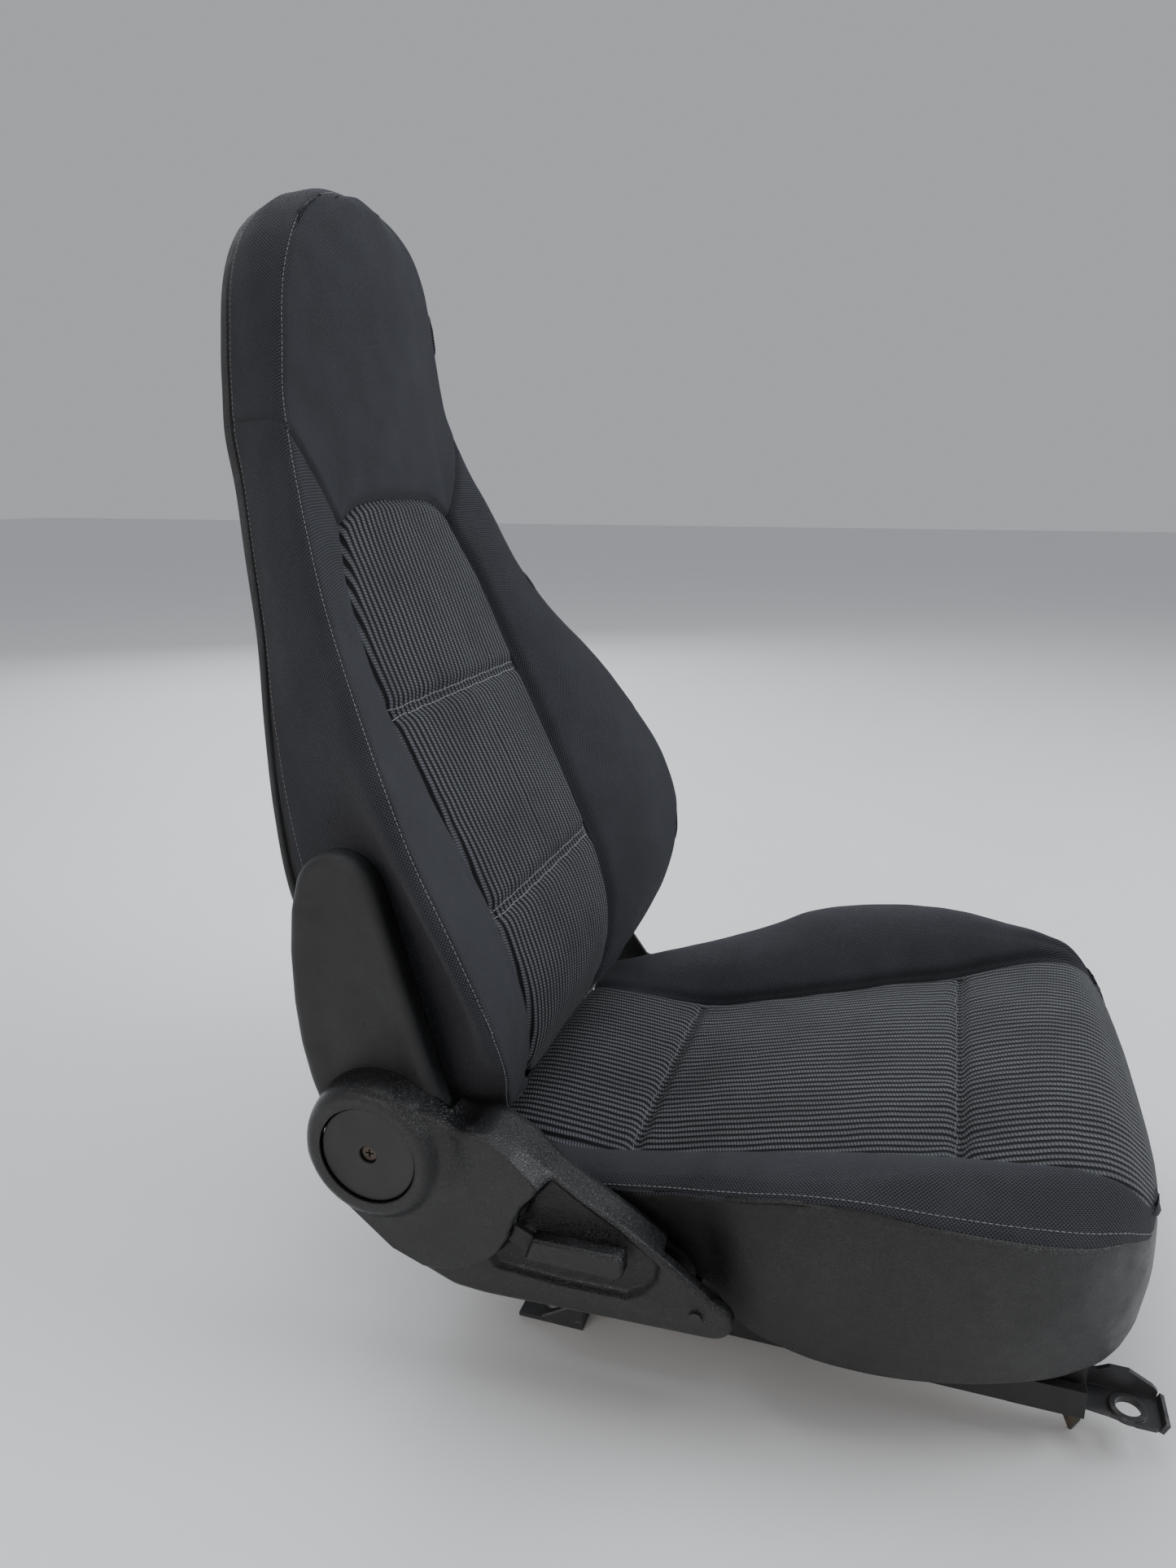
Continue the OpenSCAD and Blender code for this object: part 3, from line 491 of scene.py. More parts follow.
def ring_grid(cols, rows):
    """c, side and row at each point: down one side of the outline and back up the other."""
    c = np.concatenate([cols, cols[-2:0:-1]])
    side = np.concatenate([np.ones(len(cols)), -np.ones(len(cols) - 2)])
    cc, rr = np.meshgrid(c, rows, indexing="ij")
    return cc, np.repeat(side[:, None], len(rows), 1), rr


def ring_faces(p):
    """Numbers of the points p[ring, row], and the faces between them."""
    idx = np.arange(p.shape[0] * p.shape[1]).reshape(p.shape[:2])
    nxt = np.roll(idx, -1, 0)
    faces = np.stack([idx[:, :-1], idx[:, 1:], nxt[:, 1:], nxt[:, :-1]], -1)
    return idx, faces.reshape(-1, 4).tolist()


def in_metres(p):
    return (p.reshape(-1, 3) * MM).tolist()


def run_round(p):
    """Distance round each ring, from its first point to each next one and back to it."""
    step = np.linalg.norm(np.diff(p, axis=0, append=p[:1]), axis=2)
    return np.concatenate([np.zeros((1, p.shape[1])), np.cumsum(step, 0)])


def run_along(line):
    """Distance along a line of points, from its first."""
    return np.concatenate([[0], np.cumsum(np.linalg.norm(np.diff(line, axis=0), axis=1))])


CLOTH_SETTINGS = dict(
    quality=5, mass=0.25, tension_stiffness=12, compression_stiffness=12, shear_stiffness=4,
    bending_stiffness=0.35, tension_damping=8, compression_damping=8, use_pressure=True,
    uniform_pressure_force=3.5, vertex_group_mass="held", pin_stiffness=1.0, shrink_min=0.0)
FRAMES, EVENING = 14, 14
# How firmly the backrest's sides are held in the simulation
PART_HELD = 0.75
# Thickness of a cover, and how near the first and last row it thins out, to which share
SHEET, THIN_OVER, THINNEST = 2.0, 12, 0.1


class Surface:
    """A padded form as rings of points.

    Subclasses give place(c, side, row), held(c, row) and relief(p).
    """

    def __init__(self, name, columns, rows):
        self.name = name
        self.cols = np.asarray(columns, float)
        self.rows = np.asarray(rows, float)
        self.lift = None

    def puff(self, cap):
        """Lets the cover fill out between its seams, as a cloth with its seams held."""
        cc, ss, rr = ring_grid(self.cols, self.rows)
        p = self.place(cc, ss, rr)
        idx, faces = ring_faces(p)
        faces += [idx[:, 0].tolist(), idx[::-1, -1].tolist()]
        mesh = bpy.data.meshes.new(self.name + "_sim")
        mesh.from_pydata(in_metres(p), [], faces)
        obj = bpy.data.objects.new(self.name + "_sim", mesh)
        scene.collection.objects.link(obj)
        held = self.held(cc, rr)
        group = obj.vertex_groups.new(name="held")
        for level in (PART_HELD, 1.0):
            chosen = np.where(near(held.ravel(), level))[0].tolist()
            if chosen:
                group.add(chosen, level, "REPLACE")
        cloth = obj.modifiers.new("cloth", "CLOTH")
        for key, value in CLOTH_SETTINGS.items():
            setattr(cloth.settings, key, value)
        cloth.settings.effector_weights.gravity = 0
        cloth.collision_settings.use_collision = False
        cloth.point_cache.frame_start = 1
        cloth.point_cache.frame_end = FRAMES
        for f in range(1, FRAMES + 1):
            scene.frame_set(f)
        done = obj.evaluated_get(bpy.context.evaluated_depsgraph_get()).to_mesh()
        out = np.empty(len(done.vertices) * 3)
        done.vertices.foreach_get("co", out)
        moved = out.reshape(p.shape) / MM - p
        normal = grid_normals(p)
        rise = np.clip((moved * normal).sum(2), -cap, cap)
        for _ in range(EVENING):
            side = np.roll(rise, 1, 0) + np.roll(rise, -1, 0)
            ends = np.pad(rise, ((0, 0), (1, 1)), "edge")
            rise = (1 - held) * (0.4 * rise + 0.15 * (side + ends[:, 2:] + ends[:, :-2]))
        self.lift = normal * rise[..., None]
        print(self.name, "filled out", round(float(rise.max()), 2), round(float(rise.mean()), 2))
        bpy.data.objects.remove(obj)
        bpy.data.meshes.remove(mesh)
        scene.frame_set(1)

    def finish(self):
        """The final points: the analytic form, the filling-out, then seams and creases."""
        self.fine_cols, self.fine_rows = fine_params(self.cols), fine_params(self.rows)
        self.cc, self.ss, self.rr = ring_grid(self.fine_cols, self.fine_rows)
        p = self.place(self.cc, self.ss, self.rr)
        if self.lift is not None:
            p = p + finer(finer_ring(self.lift).swapaxes(0, 1)).swapaxes(0, 1)
        self.run = run_round(p)
        self.points = p + grid_normals(p) * self.relief(p)[..., None]
        self.normals = grid_normals(self.points)
        self.run = run_round(self.points)

    def index(self, c):
        """Number of the half outline's point nearest to c."""
        return int(np.argmin(abs(self.fine_cols - c)))

    def column(self, c):
        """Distance round the ring from where the half outline reads c, on each side."""
        i, n = self.index(c), len(self.ss)
        right = self.run[:n] - self.run[i]
        left = self.run[n - i] - self.run[:n]
        return np.where(self.ss > 0, right, left)

    def tree(self):
        return BVHTree.FromPolygons(in_metres(self.points), ring_faces(self.points)[1])

    def panel(self, name, c0, c1, r0, r1, mat, uv, side=0):
        """One sewn piece: the patch from c0 to c1 and row r0 to r1, as a closed thin sheet.

        It lies on one side (1 or -1), or on both and across the middle (0).
        """
        r0, r1 = min(r0, r1), max(r0, r1)
        rows = self.fine_rows
        ring = [i for i, c in enumerate(self.fine_cols) if c0 - EPS <= c <= c1 + EPS]
        ri = [j for j, r in enumerate(rows) if r0 - EPS <= r <= r1 + EPS]
        mirrored = [-i % len(self.points) for i in reversed(ring)]
        if side < 0:
            ring = mirrored
        elif side == 0:
            ring = mirrored[:-1] + ring if c0 == 0 else ring + mirrored[1:]
        to_end = np.minimum(abs(rows - rows[0]), abs(rows - rows[-1]))
        depth = (SHEET * np.clip(to_end / THIN_OVER, THINNEST, 1))[ri][None, :, None]
        patch = self.points[np.ix_(ring, ri)]
        under = patch - self.normals[np.ix_(ring, ri)] * depth
        a, b = patch.shape[:2]
        idx = np.arange(a * b).reshape(a, b)
        top = np.stack([idx[:-1, :-1], idx[:-1, 1:], idx[1:, 1:], idx[1:, :-1]], -1).reshape(-1, 4)
        rim = np.concatenate([idx[:, 0], idx[-1, 1:], idx[-2::-1, -1], idx[0, -2:0:-1]])
        after = np.roll(rim, -1)
        edge = np.stack([rim, after, after + a * b, rim + a * b], -1)
        faces = np.concatenate([top, top[:, [0, 3, 2, 1]] + a * b, edge]).tolist()
        uvs = np.tile(uv(self, ring, ri).reshape(-1, 2), (2, 1))
        return make_mesh(name, in_metres(patch) + in_metres(under), faces, mat, uvs)


def make_mesh(name, verts, faces, mat, uvs=None):
    mesh = bpy.data.meshes.new(name)
    mesh.from_pydata(verts, [], faces)
    mesh.materials.append(mat)
    if uvs is not None:
        layer = mesh.uv_layers.new(name="UVMap")
        loops = np.empty(len(mesh.loops), int)
        mesh.loops.foreach_get("vertex_index", loops)
        layer.data.foreach_set("uv", uvs[loops].ravel())
    mesh.polygons.foreach_set("use_smooth", [True] * len(mesh.polygons))
    mesh.update()
    obj = bpy.data.objects.new(name, mesh)
    scene.collection.objects.link(obj)
    return obj


def noise_field(p, scale, seed):
    """Smooth noise from -1 to 1 at each point, with features about 1/scale mm across."""
    flat = (p.reshape(-1, 3) * scale + seed).tolist()
    return np.array([noise.noise(Vector(q)) for q in flat]).reshape(p.shape[:-1])


def ditch(d, depth, width):
    """A sewn groove at distance d from its middle."""
    return -depth * np.exp(-(d / width) ** 2)


# ---------------- backrest form

# Up the back from the pivot, then half width and forward depth of the insert's edge, the ridge seam,
# the side's middle and the rear seam, then the rear panel's depth, all in mm
BACK_ROWS = [
    (-60, 60, -3, 84, -3, 88, -4, 80, -7, -8),
    (-56, 80, 10, 104, 18, 112, 2, 102, -14, -19),
    (-44, 100, 24, 158, 38, 172, 12, 152, -20, -30),
    (-20, 107, 43, 205, 66, 214, 26, 186, -24, -38),
    (10, 112, 56, 233, 92, 226, 48, 200, -26, -43),
    (55, 117, 64, 257, 111, 229, 72, 205, -28, -46),
    (110, 120, 65, 265, 116, 231, 78, 206, -28, -48),
    (175, 126, 63, 256, 109, 230, 68, 204, -27, -48),
    (230, 129, 61, 237, 101, 216, 50, 190, -22, -44),
    (290, 128, 60, 206, 88, 193, 36, 172, -12, -33),
    (350, 118, 63, 181, 81, 172, 36, 153, 0, -17),
    (408, 96, 68, 162, 82, 154, 42, 140, 11, -2),
    (460, 88, 82, 143, 84, 138, 51, 127, 20, 10),
    (500, 82, 95, 131, 90, 128, 60, 119, 26, 18),
    (532, 78, 107, 124, 102, 122, 70, 112, 36, 27),
    (566, 77, 121, 119, 116, 118, 84, 108, 49, 40),
    (600, 77, 133, 115, 130, 118, 95, 112, 64, 57),
    (620, 77, 139, 114, 137, 118, 102, 114, 72, 67),
    (636, 77, 142, 113, 141, 118, 107, 116, 79, 75),
    (643, 77, 142, 112, 142, 119, 109, 118, 84, 80),
    (655, 77, 142, 112, 142, 120, 111, 120, 92, 90),
    (668, 77, 142, 112, 142, 120, 114, 120, 99, 97),
]
SEAM_LOW, SEAM_MID, INSERT_TOP = 89.0, 262.0, 405.0
BACK_FIRST, BACK_LAST = -60.0, 654.0
CHANNEL = 4.0
C_INSERT, C_RIDGE, C_REAR, C_END = 2, 4, 7, 10
# Where the headrest starts to narrow, and the share of its width that is left at the last row
DOME, NARROWEST = 540.0, 0.004
# Creases worn into the middle field: where across, and from and to which height
CREASES = ((-9, 120, 255), (5, 96, 240))
# Height that the insert and ridge, the side and the rear edge come to at the top of the dome
CREST = ((0, 4, 5, 6, 7, 10), (640, 640, 649, 658, 660, 660))


def half_outline(*pairs):
    """Points of a half outline, from pairs of half width and depth or height."""
    return np.stack([np.stack(pair, -1) for pair in pairs], -2)


def stepped(marks, step):
    """Row values from the first mark to the last, about step apart, with every mark among them."""
    out = []
    for a, b in zip(marks[:-1], marks[1:]):
        n = max(2, round(abs(b - a) / step))
        out += list(np.linspace(a, b, n, endpoint=False))
    return out + [marks[-1]]


class Backrest(Surface):
    creases = (C_INSERT, C_RIDGE, C_REAR)

    def height(self, c, row):
        """How far up the back a point is: rows bend up over the insert and along the wings."""
        wing = 70 * smoothstep(250, INSERT_TOP, row) * (1 - smoothstep(INSERT_TOP, 640, row))
        arch = 19 * smoothstep(345, INSERT_TOP, row) * (1 - smoothstep(INSERT_TOP, 500, row))
        across = np.clip((c - C_INSERT) / (C_RIDGE - C_INSERT), 0, 1)
        gusset = np.clip((c - C_RIDGE) / (C_REAR - C_RIDGE), 0, 1)
        back = 1 - np.clip((c - C_REAR) / (C_END - C_REAR), 0, 1)
        inner = np.clip(c / C_INSERT, 0, 1)
        return row + wing * (across + 0.4 * gusset) * back + arch * (1 - inner**3.2) * (c < C_INSERT)

    def place(self, c, side, row):
        v = self.height(c, row)
        risen = np.clip((v - DOME) / (BACK_LAST - DOME), 0, 1)
        crest = np.interp(c, *CREST)
        v = np.where(v > DOME, DOME + risen * (crest - DOME), v)
        hi, wi, hr, wr, hm, wm, he, we, wd = np.moveaxis(spline(BACK_ROWS, v), -1, 0)
        pts = half_outline((0 * hi, wi + 3), (hi * 0.6, wi + 2.5), (hi, wi),
                           (hi + (hr - hi) * 0.5, wi + (wr - wi) * 0.62), (hr, wr),
                           (hr * 0.99 + 2, wr - (wr - wm) * 0.3), (hm, wm),
                           (he, we + 6), (he - 3, we - 1.5), (he * 0.6, wd + 1), (0 * hi, wd))
        xw = section(pts, c, self.creases)
        power = np.interp(c, (C_RIDGE, C_REAR), (2.4, 2.0))
        narrowing = np.maximum((1 - risen**power) ** (1 / power), NARROWEST)
        x, w = side * xw[..., 0] * narrowing, xw[..., 1]
        return np.stack([x, PIVOT_Y + v * math.sin(RAKE) - w * math.cos(RAKE),
                         PIVOT_Z + v * math.cos(RAKE) + w * math.sin(RAKE)], -1)

    def held(self, c, row):
        h = np.zeros(c.shape)
        h[near(c, C_INSERT) & (row <= INSERT_TOP + EPS)] = 1
        h[near(c, C_RIDGE) | near(c, C_REAR) | (c > C_REAR)] = 1
        h[(c > C_RIDGE + EPS) & (c < C_REAR - EPS)] = PART_HELD
        for seam in (SEAM_LOW, SEAM_MID):
            h[(c <= C_INSERT) & (np.abs(row - seam) < CHANNEL + 0.5)] = 1
        h[(c <= C_RIDGE) & near(row, INSERT_TOP)] = 1
        h[(row < BACK_FIRST + 12) | (row > BACK_LAST - 6)] = 1
        return h

    def relief(self, p):
        c, row = self.cc, self.rr
        v = self.height(c, row)
        x = p[..., 0]
        edge, ridge, rear = self.column(C_INSERT), self.column(C_RIDGE), self.column(C_REAR)
        below = smoothstep(INSERT_TOP + 9, INSERT_TOP - 3, row)
        out = 1.5 + ditch(edge, 5.5, 7.0) * below
        out += ditch(ridge, 1.3, 2.2) + ditch(ridge, 0.4, 7)
        out += ditch(rear, 1.8, 3.0)
        on_insert = smoothstep(C_INSERT + 0.02, C_INSERT - 0.05, c)
        for seam in (SEAM_LOW, SEAM_MID):
            d = np.abs(v - seam)
            out += ditch(np.maximum(d - CHANNEL * 0.6, 0), 3.2, 6.0) * on_insert
            pull = np.exp(-d / 26) * (d > CHANNEL * 0.5)
            out += 0.55 * pull * np.sin(x / 5.3 + 1.7 * noise_field(p, 0.02, seam)) * on_insert
        gap = v - self.height(c, np.full(c.shape, INSERT_TOP))
        out += ditch(gap, 3.0, 4.5) * smoothstep(C_RIDGE + 0.02, C_RIDGE - 0.1, c)
        out += ditch(gap, 1.1, 2.4) * (c > C_RIDGE) * (c < C_REAR)
        for place, low, high in CREASES:
            here = smoothstep(low, low + 40, v) * smoothstep(high, high - 30, v)
            out += ditch(x - place, 0.9, 2.2) * on_insert * here
        soft = smoothstep(C_REAR, C_REAR - 0.4, c)
        out += soft * (1.5 * noise_field(p, 0.011, 3.0) + 0.45 * noise_field(p, 0.045, 8.0))
        return 1.0 + (out - 1.0) * smoothstep(BACK_LAST, BACK_LAST - 9, row)


back_cols = (ease(0, C_INSERT, 16, first=False) + ease(C_INSERT, C_RIDGE, 20)
             + ease(C_RIDGE, C_REAR, 20) + ease(C_REAR, 8.5, 9) + list(np.linspace(8.5, C_END, 6)))
back_marks = ([BACK_FIRST, -57, -53, -44]
              + [seam + d for seam in (SEAM_LOW, SEAM_MID) for d in (-9, -CHANNEL, CHANNEL, 9)]
              + [INSERT_TOP - 7, INSERT_TOP, INSERT_TOP + 7, 602, 622, 637, 645, 650, 652.6, 653.7,
                 BACK_LAST])
back = Backrest("backrest", back_cols, stepped(back_marks, 6.5)[::-1])

# ---------------- cushion form

# Fore and aft, then half width and height of the insert's edge, the bolster's ridge, the side seam,
# the skirt's middle and its lower edge, then the underside, all in mm
SEAT_ROWS = [
    (73, 120, 89, 170, 89, 188, 88, 192, 87, 186, 86, 85),
    (70, 128, 103, 178, 106, 198, 98, 205, 92, 200, 82, 72),
    (66, 130, 107, 181, 110, 201, 100, 208, 93, 203, 82, 72),
    (58, 131, 109, 184, 113, 205, 102, 211, 94, 206, 82, 72),
    (40, 132, 109, 190, 118, 211, 107, 216, 96, 210, 82, 72),
    (7, 135, 106, 200, 127, 217, 118, 221, 101, 214, 82, 72),
    (-56, 139, 103, 206, 147, 225, 139, 223, 112, 218, 82, 72),
    (-108, 144, 115, 222, 166, 236, 155, 222, 118, 217, 82, 72),
    (-126, 146, 119, 228, 174, 243, 162, 224, 117, 221, 78, 72),
    (-150, 149, 125, 232, 181, 250, 171, 245, 115, 240, 70, 72),
    (-185, 153, 133, 234, 189, 254, 180, 251, 114, 245, 61, 72),
    (-225, 158, 144, 230, 195, 255, 182, 252, 113, 245, 57, 72),
    (-270, 162, 154, 219, 199, 252, 178, 249, 112, 242, 59, 78),
    (-317, 168, 170, 206, 197, 244, 174, 242, 114, 232, 63, 85),
    (-356, 174, 179, 195, 193, 228, 168, 227, 116, 214, 66, 99),
    (-378, 176, 178, 190, 185, 210, 163, 210, 116, 197, 70, 101),
    (-388, 176, 173, 186, 176, 198, 158, 199, 117, 186, 76, 102),
    (-396, 171, 166, 178, 166, 183, 153, 184, 119, 170, 83, 104),
    (-402, 148, 161, 154, 159, 160, 150, 164, 121, 150, 91, 107),
    (-408, 112, 152, 118, 149, 124, 143, 129, 124, 116, 102, 113),
    (-411, 84, 146, 90, 144, 96, 139, 101, 127, 90, 112, 119),
    (-413, 60, 133, 66, 132, 72, 132, 76, 131, 70, 131, 131),
]
SEAT_FIRST, SEAT_LAST = 73.0, -413.0
SEAM_REAR, SEAM_FRONT = -45.0, -281.0
S_INSERT, S_RIDGE, S_SEAM, S_LOW, S_END = 2, 4, 5, 7, 10


class Cushion(Surface):
    creases = (S_INSERT, S_SEAM, S_LOW)

    def place(self, c, side, row):
        hi, zi, hr, zr, hs, zs, hm, zm, hl, zl, zb = np.moveaxis(spline(SEAT_ROWS, row), -1, 0)
        pts = half_outline((0 * hi, zi + 5), (hi * 0.55, zi + 4), (hi, zi),
                           (hi + (hr - hi) * 0.5, zi + (zr - zi) * 0.66), (hr, zr), (hs, zs),
                           (hm, zm), (hl, zl), (hl * 0.86, zb + 1), (hl * 0.4, zb), (0 * hi, zb))
        xz = section(pts, c, self.creases)
        return np.stack([side * xz[..., 0], row, xz[..., 1]], -1)

    def held(self, c, row):
        h = np.zeros(c.shape)
        h[near(c, S_INSERT) | near(c, S_SEAM) | (c >= S_LOW - EPS)] = 1
        for seam in (SEAM_REAR, SEAM_FRONT):
            h[(c <= S_INSERT) & near(row, seam)] = 1
        h[(row > SEAT_FIRST - 10) | (row < SEAT_LAST + 5)] = 1
        return h

    def relief(self, p):
        c, row = self.cc, self.rr
        x = p[..., 0]
        edge, seam = self.column(S_INSERT), self.column(S_SEAM)
        fade = smoothstep(-402, -372, row)
        out = ditch(edge, 4.5, 6.5) * (0.12 + 0.88 * fade)
        out += ditch(seam, 2.2, 2.8) * (0.5 + 0.5 * fade)
        on_insert = smoothstep(S_INSERT + 0.02, S_INSERT - 0.05, c)
        for line in (SEAM_REAR, SEAM_FRONT):
            d = np.abs(row - line)
            out += ditch(d, 4.0, 5.5) * on_insert
            pull = np.exp(-d / 24) * (d > 2)
            out += 0.7 * pull * np.sin(x / 4.6 + 2 * noise_field(p, 0.02, line)) * on_insert
        cloth = smoothstep(S_SEAM + 0.05, S_SEAM - 0.05, c)
        skirt = (1 - cloth) * smoothstep(S_LOW + 0.1, S_LOW - 0.3, c)
        out += cloth * (1.6 * noise_field(p, 0.011, 5.0) + 0.4 * noise_field(p, 0.045, 2.0))
        folds = p * np.array([0.3, 1.0, 0.35])
        out += skirt * (1.6 * noise_field(folds, 0.02, 9.0) + 0.5 * noise_field(folds, 0.06, 4.0))
        return out * smoothstep(SEAT_LAST, SEAT_LAST + 9, row)


seat_cols = (ease(0, S_INSERT, 18, first=False) + ease(S_INSERT, S_RIDGE, 16)
             + ease(S_RIDGE, S_SEAM, 8) + ease(S_SEAM, S_LOW, 16)
             + ease(S_LOW, S_END, 12, last=False) + [S_END])
seat_marks = ([SEAT_FIRST, 70, 62] + [seam + d for seam in (SEAM_REAR, SEAM_FRONT) for d in (6, 0, -6)]
              + [-370, -388, -399, -406, -410, -412, SEAT_LAST])
seat = Cushion("cushion", seat_cols, stepped(seat_marks, 5.5))

back.puff(cap=7.0)
seat.puff(cap=6.0)
back.finish()
seat.finish()

# ---------------- sewn pieces


def uv_lengthwise(surface, ring, rows):
    """Across is x; along is the height up the back, or the distance along the cushion's middle."""
    p = surface.points[np.ix_(ring, rows)]
    if isinstance(surface, Backrest):
        along = surface.height(surface.cc, surface.rr)[np.ix_(ring, rows)]
    else:
        along = np.broadcast_to(run_along(surface.points[0])[rows], p.shape[:2])
    return np.stack([p[..., 0], along], -1) * MM


def uv_centred(surface, ring, rows):
    """Across is the distance round from the middle, along is the height up the back."""
    n = len(surface.points)
    across = surface.run[:n] - np.where(surface.ss > 0, 0, surface.run[n])
    up = surface.height(surface.cc, surface.rr)
    return np.stack([across, up], -1)[np.ix_(ring, rows)] * MM


def uv_from(c_ref):
    """Across is the distance round from a seam, along is the run up that seam."""

    def uv(surface, ring, rows):
        across = surface.column(c_ref)[np.ix_(ring, rows)]
        along = run_along(surface.points[surface.index(c_ref)])[rows]
        return np.stack([across, np.broadcast_to(along, across.shape)], -1) * MM

    return uv


def nearest(rows, value):
    return min(rows, key=lambda r: abs(r - value))


def panels(surface, body, table):
    """Sewn pieces on one body; one that stays off the middle is made for the left and the right."""
    made = []
    for name, *patch in table:
        if patch[0] == 0 or patch[1] == C_END:
            made.append(surface.panel(name, *patch))
        else:
            made += [surface.panel(f"{name}_{word}", *patch, side)
                     for word, side in (("left", 1), ("right", -1))]
    for piece in made:
        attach(piece, body)
    return made


low_cut, mid_cut = (nearest(back.fine_rows, seam) for seam in (SEAM_LOW, SEAM_MID))
backrest_pieces = panels(back, "backrest", [
    ("backrest_insert_low", 0, C_INSERT, BACK_FIRST, low_cut, RIBS, uv_lengthwise),
    ("backrest_insert_mid", 0, C_INSERT, low_cut, mid_cut, RIBS, uv_lengthwise),
    ("backrest_insert_top", 0, C_INSERT, mid_cut, INSERT_TOP, RIBS, uv_lengthwise),
    ("backrest_bolster", C_INSERT, C_RIDGE, BACK_FIRST, INSERT_TOP, CLOTH, uv_from(C_RIDGE)),
    ("headrest_panel", 0, C_RIDGE, INSERT_TOP, BACK_LAST, CLOTH, uv_centred),
    ("headrest_side", C_RIDGE, C_REAR, INSERT_TOP, BACK_LAST, CLOTH, uv_from(C_RIDGE)),
    ("backrest_side", C_RIDGE, C_REAR, BACK_FIRST, INSERT_TOP, CLOTH, uv_from(C_RIDGE)),
])
rear_panel, = panels(back, "backrest", [
    ("back_panel", C_REAR, C_END, BACK_FIRST, BACK_LAST, SHELL, uv_lengthwise)])
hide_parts("backrest_cover")
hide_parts("backrest_foam")
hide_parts("back_shell")

rear_cut, front_cut = (nearest(seat.fine_rows, seam) for seam in (SEAM_REAR, SEAM_FRONT))
cushion_pieces = panels(seat, "seat_base", [
    ("cushion_insert_rear", 0, S_INSERT, SEAT_FIRST, rear_cut, RIBS, uv_lengthwise),
    ("cushion_insert_mid", 0, S_INSERT, rear_cut, front_cut, RIBS, uv_lengthwise),
    ("cushion_insert_front", 0, S_INSERT, front_cut, SEAT_LAST, RIBS, uv_lengthwise),
    ("cushion_bolster", S_INSERT, S_SEAM, SEAT_FIRST, SEAT_LAST, CLOTH, uv_from(S_SEAM)),
])
skirt, = panels(seat, "seat_base", [
    ("cushion_skirt_vinyl", S_SEAM, S_END, SEAT_FIRST, SEAT_LAST, VINYL, uv_from(S_SEAM))])
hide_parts("cushion_cover")
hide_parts("cushion_foam")
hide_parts("cushion_skirt")

# ---------------- moulded covers


def arc(cy, cz, r, a0, a1, n):
    """n + 1 points round a circle, from angle a0 to a1 in degrees."""
    a = np.radians(np.linspace(a0, a1, n + 1))
    return np.stack([cy + r * np.cos(a), cz + r * np.sin(a)], -1)


def inside_by(y, z, outline):
    """Distance from the outline, in mm, above 0 inside it."""
    best = np.full(y.shape, 1e9)
    odd = np.zeros(y.shape, bool)
    for a, b in zip(outline, np.roll(outline, -1, 0)):
        d = b - a
        t = np.clip(((y - a[0]) * d[0] + (z - a[1]) * d[1]) / max(d @ d, TINY), 0, 1)
        best = np.minimum(best, np.hypot(y - a[0] - t * d[0], z - a[1] - t * d[1]))
        if a[1] != b[1]:
            odd ^= ((a[1] > z) != (b[1] > z)) & (y < a[0] + d[0] * (z - a[1]) / d[1])
    return np.where(odd, best, -best)


RAYS = 1440


def outline_rays(centre, outline, count, blur):
    """Points evenly round an outline that is star-shaped from the centre, its corners rounded."""
    a = np.linspace(-math.pi, math.pi, RAYS, endpoint=False)
    reach = np.zeros(len(a))
    for p, q in zip(outline - centre, np.roll(outline, -1, 0) - centre):
        cross = np.cos(a) * (q[1] - p[1]) - np.sin(a) * (q[0] - p[0])
        with np.errstate(divide="ignore", invalid="ignore"):
            r = (p[0] * (q[1] - p[1]) - p[1] * (q[0] - p[0])) / cross
            t = (r * (np.cos(a) * (q[0] - p[0]) + np.sin(a) * (q[1] - p[1]))
                 - p @ (q - p)) / max((q - p) @ (q - p), TINY)
        reach = np.maximum(reach, np.where((t > -EPS) & (t < 1 + EPS) & (r > 0), r, 0))
    ring = np.stack([reach * np.cos(a), reach * np.sin(a)], -1)
    ring = np.concatenate([ring, ring[:1]])
    run = run_along(ring)
    even = np.linspace(0, run[-1], count, endpoint=False)
    ring = np.stack([np.interp(even, run, ring[:, k]) for k in (0, 1)], -1)
    for _ in range(blur):
        ring = 0.5 * ring + 0.25 * (np.roll(ring, 1, 0) + np.roll(ring, -1, 0))
    return ring + centre


WALL = 2.0
TINY_HOLE = 0.02


